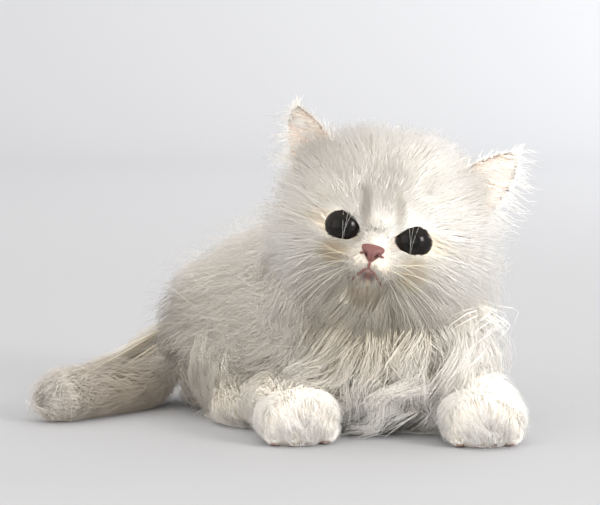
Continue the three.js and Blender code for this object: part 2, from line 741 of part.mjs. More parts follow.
// Ear: the cup of its form with a thin shell behind it
function earSolid(form) {
  const rows = 6;
  const columns = 6;
  const width = columns + 1;
  const offset = (rows + 1) * width;
  const grid = (isBack) => Array.from({ length: offset }, (_, i) => {
    const share = Math.floor(i / width) / rows;
    const angle = Math.PI * ((i % width) / columns - 0.5);
    return form.point(share, angle, CORE, isBack ? -form.shell(share, angle) : 0);
  });
  const faces = [];
  const quad = (a, b, c, d) => faces.push(a, b, c, a, c, d);
  for (let row = 0; row < rows; row += 1) {
    for (let column = 0; column < columns; column += 1) {
      const a = row * width + column;
      quad(a, a + 1, a + 1 + width, a + width);
      quad(offset + a + 1, offset + a, offset + a + width, offset + a + 1 + width);
    }
    const first = row * width;
    const last = first + columns;
    quad(offset + first, first, first + width, offset + first + width);
    quad(last, offset + last, offset + last + width, last + width);
  }
  for (let column = 0; column < columns; column += 1) {
    const top = rows * width + column;
    quad(column + 1, column, offset + column, offset + column + 1);
    quad(top, top + 1, offset + top + 1, offset + top);
  }
  return solidFrom(indexedGeometry([...grid(false), ...grid(true)], faces));
}

// Toes: rounded lobes across the front of a paw
function toeSolids(paw) {
  const ahead = paw.tangent(1).setZ(0).normalize();
  const across = new THREE.Vector3(ahead.y, -ahead.x, 0);
  return Array.from({ length: TOES.count }, (_, i) => {
    const place = 2 * i / (TOES.count - 1) - 1;
    const at = paw.centre(1)
      .addScaledVector(across, TOES.spread * place)
      .addScaledVector(ahead, TOES.ahead - TOES.setBack * Math.abs(place));
    const geometry = new THREE.SphereGeometry(1, 8, 5);
    geometry.scale(TOES.long, TOES.wide, TOES.tall);
    geometry.rotateZ(Math.atan2(ahead.y, ahead.x));
    geometry.translate(at.x, at.y, TOES.height);
    return solidFrom(geometry);
  });
}

// Cores of the head, neck and trunk, each cut clear of those before it, and the room each takes
const parts = new Map();
const rooms = new Map();
const core = (form, mesh) => formSolid(form, mesh);
const room = (form, mesh) => formSolid(form, { ...mesh, extra: GAP });

const sockets = [-1, 1].flatMap((side) => [eyeSolid(side, GAP), lidOpening(side)]);
const lips = [lipSolid(LIP.offset), lipSolid(-LIP.offset)];
const philtrum = bar([onFace([0, PHILTRUM.top]), onFace([0, MOUTH.top])], PHILTRUM.thickness);
const wholeHead = join(core(head, MESH.head), lidSolid(-1), lidSolid(1), ...lips);
const openHead = cut(wholeHead, ...sockets, noseSolid(GAP), philtrum);
rooms.set('head', room(head, MESH.head));
parts.set('head', cut(openHead, jawPrism(GAP)));
parts.set('lower_jaw', largest(openHead.intersect(jawPrism(0))));
parts.set('nose', cut(noseSolid(0), nostrilSolid(-1), nostrilSolid(1)));
parts.set('eye_right', eyeSolid(-1, 0));
parts.set('eye_left', eyeSolid(1, 0));
parts.set('ear_right', cut(earSolid(ears.right), rooms.get('head')));
parts.set('ear_left', cut(earSolid(ears.left), rooms.get('head')));

function addCore(name, form, mesh, extras = []) {
  const whole = join(core(form, mesh), ...extras);
  parts.set(name, cut(whole, floor, ...rooms.values()));
  rooms.set(name, room(form, mesh));
}

addCore('neck', neck, MESH.neck);
addCore('chest', chest, MESH.chest);
parts.set('torso', cut(core(trunk, MESH.torso), floor, ...rooms.values()));
parts.set('rump', cut(core(trunk, MESH.rump), floor, ...rooms.values()));
rooms.set('torso', room(trunk, { ...MESH.torso, to: RUMP_START }));
rooms.set('rump', room(trunk, MESH.rump));

// Cores of the limbs and the tail
for (const name of ['foreleg_right', 'foreleg_left']) addCore(name, limbs[name], MESH.leg);
for (const name of ['forepaw_right', 'forepaw_left']) {
  addCore(name, limbs[name], MESH.paw, toeSolids(limbs[name]));
}
for (const name of ['thigh_right', 'thigh_left', 'hindpaw_right', 'hindpaw_left']) {
  addCore(name, limbs[name], MESH.hind);
}
const tailNames = ['tail_base', 'tail_middle', 'tail_tip'];
const tailEnds = [tail.ends[0], ...TAIL_CUTS, tail.ends[1]];
const tailRooms = new Map();
tailNames.forEach((name, i) => {
  const from = tailEnds[i] + (i > 0 ? TAIL_GAP_SHARE : 0);
  const mesh = { from, to: tailEnds[i + 1], rings: TAIL_RINGS[i], around: TAIL_AROUND };
  tailRooms.set(name, room(tail, mesh));
  parts.set(name, cut(core(tail, mesh), floor, ...rooms.values()));
});
tailRooms.forEach((solid, name) => rooms.set(name, solid));

// Locks, first on the parts that lie outermost
const COATS = [
  ['ear_right', ears.right, LOCKS.ear],
  ['ear_left', ears.left, LOCKS.ear],
  ['head', head, LOCKS.head],
  ['neck', neck, LOCKS.neck],
  ['chest', chest, LOCKS.chest],
  ...['foreleg', 'thigh', 'hindpaw'].flatMap((limb) => ['right', 'left'].map((side) => (
    [`${limb}_${side}`, limbs[`${limb}_${side}`], LOCKS[limb]]
  ))),
  ['torso', trunk, LOCKS.torso],
  ['rump', trunk, LOCKS.rump],
  ...tailNames.map((name) => [name, tail, LOCKS[name]]),
];
const bareNames = ['nose', 'eye_right', 'eye_left', 'lower_jaw', 'ear_right', 'ear_left'];
const lockRooms = [];
for (const [name, form, plan] of COATS) {
  const bare = bareNames.filter((other) => other !== name).map((other) => parts.get(other));
  const neighbours = [...rooms].filter(([other]) => other !== name).map(([, solid]) => solid);
  const grown = growLocks(parts.get(name), form, plan, bare, [...neighbours, ...lockRooms]);
  parts.set(name, largest(join(parts.get(name), ...grown.map(({ lock }) => lock))));
  lockRooms.push(...grown.map(({ around }) => around));
}

// Scene graph: every part stands at its own place, in one group that is set on its middle
const group = new THREE.Group();
group.name = 'persian_kitten';

function addNode(name, at, colour = COLOURS.coat, roughness = ROUGHNESS.coat) {
  const mesh = parts.get(name).getMesh();
  const geometry = new THREE.BufferGeometry();
  geometry.setAttribute('position', new THREE.BufferAttribute(new Float32Array(mesh.vertProperties), 3));
  geometry.setIndex(new THREE.BufferAttribute(new Uint32Array(mesh.triVerts), 1));
  geometry.translate(-at.x, -at.y, -at.z);
  geometry.computeVertexNormals();
  const material = new THREE.MeshStandardMaterial({ color: colour, roughness, metalness: 0 });
  const node = new THREE.Mesh(geometry, material);
  node.name = name;
  node.position.copy(at);
  group.add(node);
}

addNode('head', headPoint(0, SKULL.lift, -SKULL.depth));
addNode('lower_jaw', headPoint(0, MOUTH.cornerHeight, 0));
addNode('nose', headPoint(0, NOSE.height, NOSE.front), COLOURS.leather, ROUGHNESS.leather);
for (const [name, side] of [['right', -1], ['left', 1]]) {
  addNode(`eye_${name}`, headPoint(side * EYE.spread, 0, -EYE.depth), COLOURS.eye, ROUGHNESS.eye);
  addNode(`ear_${name}`, headPoint(side * EAR.across, EAR.up, EAR.depth), COLOURS.ear);
}
addNode('neck', neck.centre(0.5));
addNode('chest', chest.centre(0.5), COLOURS.shade);
addNode('torso', trunk.centre(0.3));
addNode('rump', trunk.centre(0.9));
for (const [name, form] of Object.entries(limbs)) addNode(name, form.centre(0));
tailNames.forEach((name, i) => addNode(name, tail.centre(Math.max(tailEnds[i], 0)), COLOURS.shade));

const box = new THREE.Box3().setFromObject(group);
const middle = box.getCenter(new THREE.Vector3());
group.position.set(-middle.x, -middle.y, -box.min.z);
group.updateMatrixWorld(true);

export default group;
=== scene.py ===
"""A Persian kitten, life size: skin, coat, eyes, nose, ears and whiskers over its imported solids.

The kitten lies on its chest with its head raised and tilted and its tail laid out on the floor.
Inside the classes lengths are millimetres in the kitten's own axes: it faces -Y, its left side is
+X, the floor is Z = 0 and the middle between its eyes stands over the origin. Placing turns them
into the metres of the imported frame. Each form of the body is a surface of two parameters, share
along it and angle round it, with layers: layer 0 is the skin and layer 1 the tips of the coat.
"""

from __future__ import annotations

import logging
import math
from dataclasses import dataclass, field, replace
from enum import Enum
from typing import Protocol

import bpy
import numpy as np
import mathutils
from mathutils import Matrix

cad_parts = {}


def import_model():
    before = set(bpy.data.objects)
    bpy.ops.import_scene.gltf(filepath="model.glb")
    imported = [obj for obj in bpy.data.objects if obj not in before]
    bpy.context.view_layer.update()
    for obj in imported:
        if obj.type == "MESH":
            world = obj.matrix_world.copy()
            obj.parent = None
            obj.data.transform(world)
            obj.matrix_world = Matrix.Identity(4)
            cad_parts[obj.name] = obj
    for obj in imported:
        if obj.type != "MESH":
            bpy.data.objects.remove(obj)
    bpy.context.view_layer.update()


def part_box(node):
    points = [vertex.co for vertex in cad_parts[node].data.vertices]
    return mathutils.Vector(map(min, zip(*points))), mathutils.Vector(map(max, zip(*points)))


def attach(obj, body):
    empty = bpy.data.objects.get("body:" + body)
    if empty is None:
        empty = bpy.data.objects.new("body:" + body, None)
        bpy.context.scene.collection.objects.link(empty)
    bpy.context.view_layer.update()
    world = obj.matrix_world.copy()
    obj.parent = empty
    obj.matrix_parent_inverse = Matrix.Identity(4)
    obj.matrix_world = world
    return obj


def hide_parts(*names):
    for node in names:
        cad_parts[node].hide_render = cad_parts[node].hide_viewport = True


Array = np.ndarray
Pair = tuple[float, float]
Vector = tuple[float, float, float]
Colour = tuple[float, float, float]
Four = tuple[float, float, float, float]
Piece = bpy.types.Object
Material = bpy.types.Material
Tree = bpy.types.NodeTree
Node = bpy.types.Node
Output = bpy.types.NodeSocket
Inputs = dict[str | int, object]
log = logging.getLogger("kitten")

SEED = 11
MILLIMETRES = 1000
LEVEL = np.array([1, 1, 0])


def smoothstep(value: Array, low: float, high: float) -> Array:
    """Smooth step from 0 at low to 1 at high: 3 t squared less 2 t cubed, t held from 0 to 1."""
    t = np.clip((value - low) / (high - low), 0, 1)
    return t * t * (3 - 2 * t)


def unit(vectors: Array) -> Array:
    """Vectors along the last axis, each divided by its own length."""
    return vectors / np.maximum(np.linalg.norm(vectors, axis=-1, keepdims=True), 1e-9)


def along(values: Array, share: Array) -> Array:
    """Smooth curve through values, spaced evenly over shares from 0 to 1.

    Each stretch is the Catmull-Rom cubic of the four values round it, with the end values
    repeated.

    Args:
        values: one row for each station.
        share: places on the curve.

    Returns:
        One row for each share.
    """
    last = len(values) - 1
    index = np.clip(np.floor(share * last), 0, last - 1).astype(int)
    t = (share * last - index)[..., None]
    a, b, c, d = (values[np.clip(index + step, 0, last)] for step in (-1, 0, 1, 2))
    return b + 0.5 * t * (c - a + t * (2 * a - 5 * b + 4 * c - d + t * (3 * (b - c) + d - a)))


@dataclass(frozen=True)
class Placing:
    """Turns the kitten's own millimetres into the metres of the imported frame."""

    offset: Array

    def metres(self, points: Array) -> Array:
        """Points in metres, moved by the offset."""
        return (points + self.offset) / MILLIMETRES

    def own(self, points: Array) -> Array:
        """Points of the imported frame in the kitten's own millimetres."""
        return points * MILLIMETRES - self.offset

    def length(self, size: float) -> float:
        """A length in metres."""
        return size / MILLIMETRES


def full_turn(count: int) -> Array:
    """Angles spaced evenly round a full turn."""
    return np.linspace(0, 2 * math.pi, count, endpoint=False)


def globe(polar: Array, turn: Array) -> Array:
    """Directions of a ball by angles from its pole and round it: sines and cosines of both."""
    x, y, z = np.sin(polar) * np.cos(turn), np.sin(polar) * np.sin(turn), np.cos(polar)
    return np.stack(np.broadcast_arrays(x, y, z), -1)


# Forms of the body


class Form(Protocol):
    """A surface with layers, which hair can grow on."""

    def point(self, share: Array, angle: Array, layer: Array, extra: Array = 0.0) -> Array:
        """Points at a share, an angle and a layer, set out by extra."""

    def inside(self, points: Array, extra: float = 0.0) -> Array:
        """True for points inside the skin grown by extra."""

    def ending(self, share: Array) -> Array:
        """Nearness to an end where the ways over the form meet, from 0 to 1."""


@dataclass(frozen=True)
class Station:
    """One section of a limb: its middle, its reach to the sides, up and down, and coat depth."""

    at: Vector
    wide: float
    up: float
    down: float
    coat: float


@dataclass
class Sweep:
    """Rounded sections carried along a path, with round ends that reach past it.

    Share 0 to 1 runs along the path, -1 to 0 over the first end and 1 to 2 over the last.
    """

    stations: tuple[Station, ...]
    caps: Pair
    top: Vector = (0, 0, 1)
    squareness: float = 2.2
    pressed: float = 0.25
    end_from: float = 0.35

    def __post_init__(self) -> None:
        """Lays the stations out as arrays."""
        self.places = np.array([station.at for station in self.stations], float)
        self.sizes = np.array([(s.wide, s.up, s.down, s.coat) for s in self.stations], float)

    def centre(self, share: Array) -> Array:
        """Places on the path."""
        return along(self.places, share)

    def tangent(self, share: Array) -> Array:
        """Direction of the path, from the places a hundredth before and after."""
        step = 0.01
        return unit(self.centre(np.minimum(share + step, 1)) - self.centre(np.maximum(share - step, 0)))

    def axes(self, share: Array) -> tuple[Array, Array, Array]:
        """Tangent, side and up of the section at each share."""
        tangent = self.tangent(share)
        side = unit(np.cross(tangent, np.array(self.top, float)))
        return tangent, side, np.cross(side, tangent)

    def point(self, share: Array, angle: Array, layer: Array, extra: Array = 0.0) -> Array:
        """Points of the surface.

        A section is a superellipse, wide to the sides and with its own reach up and down. The
        coat is as deep as the station says, but pressed thin below. Over an end the section
        shrinks by the cosine, and moves out by the sine, of a quarter turn.

        Args:
            share: places along the path and its ends.
            angle: turn round the section, a quarter turn being up.
            layer: 0 for the skin and 1 for the tips of the coat.
            extra: distance outwards on top of the layer.

        Returns:
            Points in millimetres.
        """
        share, angle, layer, extra = np.broadcast_arrays(share, angle, layer, extra)
        inner = np.clip(share, 0, 1)
        wide, up, down, coat = np.moveaxis(along(self.sizes, inner), -1, 0)
        depth = coat * (layer - 1)
        reach = depth + extra
        turn = (share - inner) * math.pi / 2
        shrink = np.cos(turn)
        cap = np.where(share < 0, self.caps[0], self.caps[1]) + reach
        power = 2 / self.squareness
        cos, sin = np.cos(angle), np.sin(angle)
        tall = np.where(sin > 0, up + reach, down + depth * self.pressed + extra)
        across = np.sign(cos) * np.abs(cos) ** power * (wide + reach) * shrink
        rise = np.sign(sin) * np.abs(sin) ** power * tall * shrink
        tangent, side, upward = self.axes(inner)
        return (
            self.centre(inner)
            + tangent * (cap * np.sin(turn))[..., None]
            + side * across[..., None]
            + upward * rise[..., None]
        )

    def ending(self, share: Array) -> Array:
        """Nearness to the tip of either round end, by a smooth step."""
        return smoothstep(np.abs(share - np.clip(share, 0, 1)), self.end_from, 1)

    def inside(self, points: Array, extra: float = 0.0) -> Array:
        """True where the section nearest to a point, grown by extra, holds it."""
        shares = np.linspace(0, 1, 40)
        middles = self.centre(shares)
        gaps = ((points[:, None] - middles) ** 2).sum(-1)
        share = shares[gaps.argmin(1)]
        wide, up, down, coat = np.moveaxis(along(self.sizes, share), -1, 0)
        tangent, side, upward = self.axes(share)
        offset = points - self.centre(share)
        ahead, across, rise = ((offset * axis).sum(-1) for axis in (tangent, side, upward))
        at_end = (share == shares[0]) | (share == shares[-1])
        cap = np.where(ahead < 0, self.caps[0], self.caps[1]) - coat + extra
        tall = np.where(rise > 0, up - coat, down - coat * self.pressed) + extra
        value = (
            np.abs(across / np.maximum(wide - coat + extra, 1)) ** self.squareness
            + np.abs(rise / np.maximum(tall, 1)) ** self.squareness
            + np.where(at_end, np.abs(ahead / np.maximum(cap, 1)), 0) ** 2
        )
        return value < 1


@dataclass(frozen=True)
class Swelling:
    """A rounded rise or dent of the face: place across and up it, spread and height."""

    across: float
    height: float
    wide: float
    tall: float
    rise: float


@dataclass
class HeadForm:
    """The head. Share 0 is the nose and 1 the back of the head, and the coat lies that way too.

    Its own axes run across the face, up it and out of it, from the middle between the eyes.
    """

    eye_height: float = 96
    yaw: float = 6.5
    pitch: float = 6
    roll: float = 11.9
    across: float = 30
    up: float = 32
    down: float = 36
    front: float = 27
    back: float = 30
    lift: float = 4
    depth: float = 27
    squareness: float = 2.4
    nose_drop: float = 24
    face_coat: float = 2
    side_coat: float = 24
    rim_coat: float = 14
    face_edge: float = 42
    long_from: float = 88
    fineness: float = 0.45
    end_from: float = 0.8
    middle: tuple[Swelling, ...] = (
        Swelling(0, -13.5, 12.5, 9.5, 9.5),
        Swelling(0, -3, 4.5, 4, 3.4),
        Swelling(0, -25, 7, 4.5, 7),
        Swelling(0, 2, 3, 2, -1.6),
    )
    paired: tuple[Swelling, ...] = (
        Swelling(6.5, -15, 5, 5, 2.6),
        Swelling(14, 11, 9, 4.5, 2),
        Swelling(17, -14, 8, 7, 3.5),
        Swelling(24, 0, 9, 11, 6),
    )

    def __post_init__(self) -> None:
        """Works out the head's axes from its yaw, pitch and roll."""
        yaw, pitch, roll = np.radians([self.yaw, self.pitch, self.roll])
        out = np.array(
            [-math.sin(yaw) * math.cos(pitch), -math.cos(yaw) * math.cos(pitch), math.sin(pitch)]
        )
        across = unit(np.cross([0, 0, 1], out))
        up = np.cross(out, across)
        cos, sin = math.cos(roll), math.sin(roll)
        self.axes = np.stack([across * cos - up * sin, across * sin + up * cos, out])
        self.origin = np.array([0, 0, self.eye_height])

    def place(self, local: Array) -> Array:
        """Points given across, up and out of the face, in the kitten's axes."""
        return self.origin + local @ self.axes

    def local(self, points: Array) -> Array:
        """Points of the kitten's axes, given across, up and out of the face."""
        return (points - self.origin) @ self.axes.T

    def relief(self, across: Array, height: Array) -> Array:
        """Sum of the face's swellings, each a bell curve across and up the face."""
        total = np.zeros(np.broadcast(across, height).shape)
        marks = [(mark, 0) for mark in self.middle]
        marks += [(mark, side) for mark in self.paired for side in (-1, 1)]
        for mark, side in marks:
            x = (across - side * mark.across) / mark.wide
            y = (height - mark.height) / mark.tall
            total = total + mark.rise * np.exp(-x * x - y * y)
        return total

    def radius(self, across: Array, up: Array, out: Array) -> Array:
        """Reach of the bare skull in a direction: a superellipsoid with unlike halves."""
        power = self.squareness
        return (
            np.abs(across / self.across) ** power
            + np.abs(up / np.where(up > 0, self.up, self.down)) ** power
            + np.abs(out / np.where(out > 0, self.front, self.back)) ** power
        ) ** (-1 / power)

    def coat(self, across: Array, up: Array, out: Array) -> Array:
        """Depth of the coat in a direction: short on the face, longest at the cheeks."""
        turn = np.degrees(np.arccos(np.clip(out, -1, 1)))
        rim = self.side_coat * across**2 + self.rim_coat * (up**2 + out**2)
        return self.face_coat + (rim - self.face_coat) * smoothstep(turn, self.face_edge, self.long_from)

    def point(self, share: Array, angle: Array, layer: Array, extra: Array = 0.0) -> Array:
        """Points of the head.

        The share is an angle away from the nose, whose direction drops below the face's own,
        and is finer near the nose. The skull's reach, the coat and the relief add up.

        Args:
            share: 0 at the nose to 1 at the back of the head.
            angle: turn round the nose, a quarter turn being up.
            layer: 0 for the skin and 1 for the tips of the coat.
            extra: distance outwards on top of the layer.

        Returns:
            Points in millimetres.
        """
        share, angle, layer, extra = np.broadcast_arrays(share, angle, layer, extra)
        polar = math.pi * share * (self.fineness + (1 - self.fineness) * share)
        drop = math.radians(self.nose_drop)
        across = np.sin(polar) * np.cos(angle)
        rise = np.sin(polar) * np.sin(angle)
        up = rise * math.cos(drop) - np.cos(polar) * math.sin(drop)
        out = rise * math.sin(drop) + np.cos(polar) * math.cos(drop)
        radius = self.radius(across, up, out)
        length = radius + self.coat(across, up, out) * layer + extra
        relief = self.relief(radius * across, self.lift + radius * up)
        forward = length * out - self.depth + smoothstep(out, 0, 0.4) * relief
        return self.place(np.stack([length * across, self.lift + length * up, forward], -1))

    def ending(self, share: Array) -> Array:
        """Nearness to the back of the head, by a smooth step."""
        return smoothstep(share, self.end_from, 1)

    def inside(self, points: Array, extra: float = 0.0) -> Array:
        """True for points nearer to the skull's middle than its skin grown by extra."""
        offset = self.local(points) - np.array([0, self.lift, -self.depth])
        length = np.linalg.norm(offset, axis=-1)
        across, up, out = np.moveaxis(offset / np.maximum(length, 1e-6)[..., None], -1, 0)
        return length < self.radius(across, up, out) + extra

    def face_point(self, across: Array, height: Array, layer: float = 0.0, extra: float = 0.0) -> Array:
        """Points on the face over places across and up it, found by steps from near the nose.

        Args:
            across: distance towards the kitten's left.
            height: distance up the face.
            layer: layer of the coat.
            extra: distance outwards on top of the layer.

        Returns:
            Points in millimetres.
        """
        goal = np.stack(np.broadcast_arrays(across, height), -1).astype(float)
        polar = np.zeros_like(goal)
        polar[..., 1] = 0.1
        for _ in range(40):
            share = np.linalg.norm(polar, axis=-1)
            turn = np.arctan2(polar[..., 1], polar[..., 0])
            found = self.point(share, turn, layer, extra)
            polar += (goal - self.local(found)[..., :2]) * 0.5 / self.across
        return found


class EarSide(Enum):
    """Side of an ear's shell."""

    CUP = 1
    BACK = -1


@dataclass
class EarForm:
    """Cup of an ear. Share runs from root to tip, and angle from one edge to the other."""

    head: HeadForm
    side: int
    face: EarSide
    across: float = 33
    up: float = 21
    depth: float = -22
    lean: float = 35
    turn: float = 24
    height: float = 39
    root: float = 6
    width: float = 15
    cup: float = 8
    shell: float = 2
    coat: float = 6

    def __post_init__(self) -> None:
        """Works out how the ear leans outwards and turns."""
        lean, turn = -self.side * math.radians(self.lean), self.side * math.radians(self.turn)
        leaning = np.array(
            [[math.cos(lean), -math.sin(lean), 0], [math.sin(lean), math.cos(lean), 0], [0, 0, 1]]
        )
        turning = np.array(
            [[math.cos(turn), 0, math.sin(turn)], [0, 1, 0], [-math.sin(turn), 0, math.cos(turn)]]
        )
        self.turned = leaning @ turning

    def point(self, share: Array, angle: Array, layer: Array, extra: Array = 0.0) -> Array:
        """Points of one side of the shell.

        The ear narrows to its tip by a power of the share, and its cup is deepest in the
        middle. The back lies behind by the shell, which thins to the edges and the tip. Past
        its edges the surface carries on flat, for the hair that reaches over them.

        Args:
            share: 0 at the root to 1 at the tip.
            angle: minus to plus a quarter turn, from edge to edge.
            layer: 0 for the skin and 1 for the tips of the hair.
            extra: distance outwards on top of the layer.

        Returns:
            Points in millimetres.
        """
        share, angle, layer, extra = np.broadcast_arrays(share, angle, layer, extra)
        x = np.sin(np.clip(angle, -math.pi / 2, math.pi / 2))
        past = np.sign(angle) * np.maximum(np.abs(angle) - math.pi / 2, 0)
        half = self.width * np.sqrt(np.maximum(1 - np.clip(share, 0, None) ** 1.3, 0.012))
        cup = self.cup * (1 - x * x) * (1 - 0.75 * share)
        back = self.shell * (1 - 0.6 * x * x) * (1 - 0.4 * share) if self.face is EarSide.BACK else 0
        out = -cup - back + self.face.value * (self.coat * layer + extra)
        across = x * half + past * self.width
        place = np.stack([across, self.height * share - self.root, out], -1) @ self.turned.T
        return self.head.place(place + np.array([self.side * self.across, self.up, self.depth]))

    def ending(self, share: Array) -> Array:
        """Always 0, since the ways over an ear don't meet."""
        return np.zeros(np.shape(share))

    def inside(self, points: Array, extra: float = 0.0) -> Array:
        """False for every point, since the shell is too thin to hold a root."""
        return np.zeros(len(points), bool)


@dataclass
class Limb:
    """Place of a leg's end beside the spine: share of its length, offset aside, height and sizes."""

    share: float
    aside: float
    height: float
    wide: float
    up: float
    down: float
    coat: float


@dataclass
class Anatomy:
    """All the forms of the kitten, from named sections."""

    spine: tuple[Station, ...] = (
        Station((2, 46, 40), 52, 62, 43, 18),
        Station((-8, 64, 42), 54, 68, 46, 18),
        Station((-26, 84, 41), 53, 63, 45, 18),
        Station((-48, 105, 38), 50, 56, 42, 18),
        Station((-67, 121, 35), 47, 48, 39, 18),
    )
    neck: tuple[Station, ...] = (
        Station((3, 36, 106), 44, 12, 36, 20),
        Station((3, 40, 90), 54, 24, 38, 24),
        Station((2, 45, 72), 59, 42, 40, 26),
        Station((-1, 51, 54), 57, 46, 38, 24),
    )
    chest: tuple[Station, ...] = (
        Station((4, 43, 70), 54, 40, 26, 22),
        Station((5, 42, 48), 55, 44, 24, 22),
        Station((5, 42, 26), 50, 38, 22, 20),
        Station((4, 42, 10), 42, 26, 20, 16),
    )
    foreleg_right: tuple[Station, ...] = (
        Station((-44, 58, 19), 21, 17, 21, 10),
        Station((-42, 36, 16), 21, 15, 18, 10),
        Station((-38, 14, 14), 20, 13, 16, 8),
    )
    foreleg_left: tuple[Station, ...] = (
        Station((40, 54, 19), 21, 16, 21, 10),
        Station((45, 32, 16), 21, 14, 18, 10),
        Station((47, 10, 14), 20, 13, 16, 8),
    )
    tail: tuple[Station, ...] = (
        Station((-92, 132, 40), 14, 14, 14, 10),
        Station((-106, 122, 26), 15, 15, 15, 10),
        Station((-115, 104, 15), 15, 14, 17, 10),
        Station((-131, 83, 13), 14.5, 13.5, 15, 10),
        Station((-150, 63, 12.5), 13.5, 13, 14.5, 9),
    )
    thigh: tuple[Limb, Limb] = (
        Limb(0.98, 26, 32, 22, 30, 34, 14),
        Limb(0.62, 34, 22, 22, 26, 24, 14),
    )
    hindpaw: tuple[Limb, Limb] = (
        Limb(0.68, 42, 9, 14, 13, 11, 6),
        Limb(0.46, 47, 8, 14, 11, 10, 5),
    )
    elbow_cap: float = 18
    thigh_cap: float = 16
    hindpaw_cap: float = 11
    paw_length: float = 15
    paw_overlap: float = 3
    paw_tip: float = 11
    paw_size: Four = (18, 12.5, 14, 3)
    paw_cap: float = 10
    toe_count: int = 4
    toe_spread: float = 11.5
    toe_ahead: float = 4.5
    toe_back: float = 3.5
    toe_height: float = 7.5
    toe_rise: float = 1.5
    toe_length: float = 10
    toe_splay: float = 0.22
    toe_size: Four = (6.6, 7.5, 7.3, 2.4)
    toe_cap: float = 7.5

    def __post_init__(self) -> None:
        """Makes every form."""
        forward = (0, -1, 0)
        self.head = HeadForm()
        self.trunk = Sweep(self.spine, (20, 36))
        self.forms: dict[str, Form] = {
            "head": self.head,
            "trunk": self.trunk,
            "neck": Sweep(self.neck, (20, 24), forward),
            "chest": Sweep(self.chest, (26, 14), forward),
            "tail": Sweep(self.tail, (12, 14)),
        }
        for name, stations in (("right", self.foreleg_right), ("left", self.foreleg_left)):
            side = 1 if name == "left" else -1
            self.forms[f"foreleg_{name}"] = Sweep(stations, (self.elbow_cap, 0))
            paw = self.forepaw(stations)
            self.forms[f"forepaw_{name}"] = paw
            for number, place in enumerate(np.linspace(-1, 1, self.toe_count)):
                self.forms[f"toe_{name}_{number}"] = self.toe(paw, place)
            self.forms[f"thigh_{name}"] = self.beside(side, self.thigh, self.thigh_cap)
            self.forms[f"hindpaw_{name}"] = self.beside(side, self.hindpaw, self.hindpaw_cap)
            for face in EarSide:
                self.forms[f"ear_{name}_{face.name.lower()}"] = EarForm(self.head, side, face)

    def forepaw(self, stations: tuple[Station, ...]) -> Sweep:
        """A forepaw, which carries on level from the end of its foreleg."""
        before, wrist = (np.array(station.at, float) for station in stations[-2:])
        ahead = unit((wrist - before) * LEVEL)
        start = wrist - ahead * self.paw_overlap
        tip = wrist + ahead * self.paw_length
        tip[2] = self.paw_tip
        ends = tuple(Station(tuple(at), *self.paw_size) for at in (start, tip))
        return Sweep(ends, (0, self.paw_cap))

    def toe(self, paw: Sweep, place: float) -> Sweep:
        """A toe of a forepaw, at a place from -1 to 1 across it, set back at the sides."""
        end, ahead, across = self.paw_end(paw)
        cap = self.toe_cap
        splay = unit(ahead + across * self.toe_splay * place)
        tip = end + across * self.toe_spread * place + ahead * (self.toe_ahead - self.toe_back * abs(place))
        start = tip - splay * self.toe_length
        start[2], tip[2] = self.toe_height + self.toe_rise, self.toe_height
        return Sweep(tuple(Station(tuple(at), *self.toe_size) for at in (start, tip)), (cap, cap))

    @staticmethod
    def paw_end(paw: Sweep) -> tuple[Array, Array, Array]:
        """Middle of the end of a paw, and its level directions ahead and across."""
        end = np.array(1.0)
        ahead = unit(paw.tangent(end) * LEVEL)
        return paw.centre(end), ahead, np.array([ahead[1], -ahead[0], 0])

    def beside(self, side: int, limbs: tuple[Limb, Limb], cap: float) -> Sweep:
        """A hind form, between two places beside the spine."""
        stations = []
        for limb in limbs:
            share = np.array(limb.share)
            tangent = self.trunk.tangent(share)
            left = unit(np.array([tangent[1], -tangent[0], 0]))
            at = self.trunk.centre(share) + left * side * limb.aside
            at[2] = limb.height
            stations.append(Station(tuple(at), limb.wide, limb.up, limb.down, limb.coat))
        return Sweep(tuple(stations), (cap, cap))


# Meshes


@dataclass
class Surface:
    """A mesh in the making: points in millimetres, faces, and marks on its points.

    Shading directions, if any, are one for each corner of each face.
    """

    points: Array
    quads: Array
    triangles: Array = field(default_factory=lambda: np.zeros((0, 3), int))
    marks: dict[str, Array] = field(default_factory=dict)
    uv: Array | None = None
    normals: Array | None = None

    def build(self, name: str, placing: Placing, material: Material) -> Piece:
        """Makes the object, smooth shaded, with its marks as point attributes.

        Args:
            name: name of the object and its mesh.
            placing: turns the points into metres.
            material: finish of the whole mesh.

        Returns:
            The new object, linked to the scene.
        """
        mesh = bpy.data.meshes.new(name)
        corners = np.concatenate([self.quads.ravel(), self.triangles.ravel()]).astype(np.int32)
        quads, triangles = np.arange(len(self.quads)), np.arange(len(self.triangles))
        starts = np.concatenate([quads * 4, self.quads.size + triangles * 3])
        mesh.vertices.add(len(self.points))
        mesh.vertices.foreach_set("co", placing.metres(self.points).astype(np.float32).ravel())
        mesh.loops.add(len(corners))
        mesh.loops.foreach_set("vertex_index", corners)
        mesh.polygons.add(len(starts))
        mesh.polygons.foreach_set("loop_start", starts.astype(np.int32))
        mesh.polygons.foreach_set("use_smooth", np.ones(len(starts), bool))
        for mark, values in self.marks.items():
            layer = mesh.attributes.new(mark, "FLOAT", "POINT")
            layer.data.foreach_set("value", values.astype(np.float32).ravel())
        if self.uv is not None:
            layer = mesh.uv_layers.new(name="OFBake")
            layer.uv.foreach_set("vector", self.uv[corners].astype(np.float32).ravel())
        mesh.update(calc_edges=True)
        if self.normals is not None:
            layer = mesh.attributes.new("custom_normal", "FLOAT_VECTOR", "CORNER")
            layer.data.foreach_set("vector", self.normals.astype(np.float32).ravel())
        mesh.materials.append(material)
        piece = bpy.data.objects.new(name, mesh)
        bpy.context.scene.collection.objects.link(piece)
        log.info("%s: %d triangles", name, 2 * len(self.quads) + len(self.triangles))
        return piece


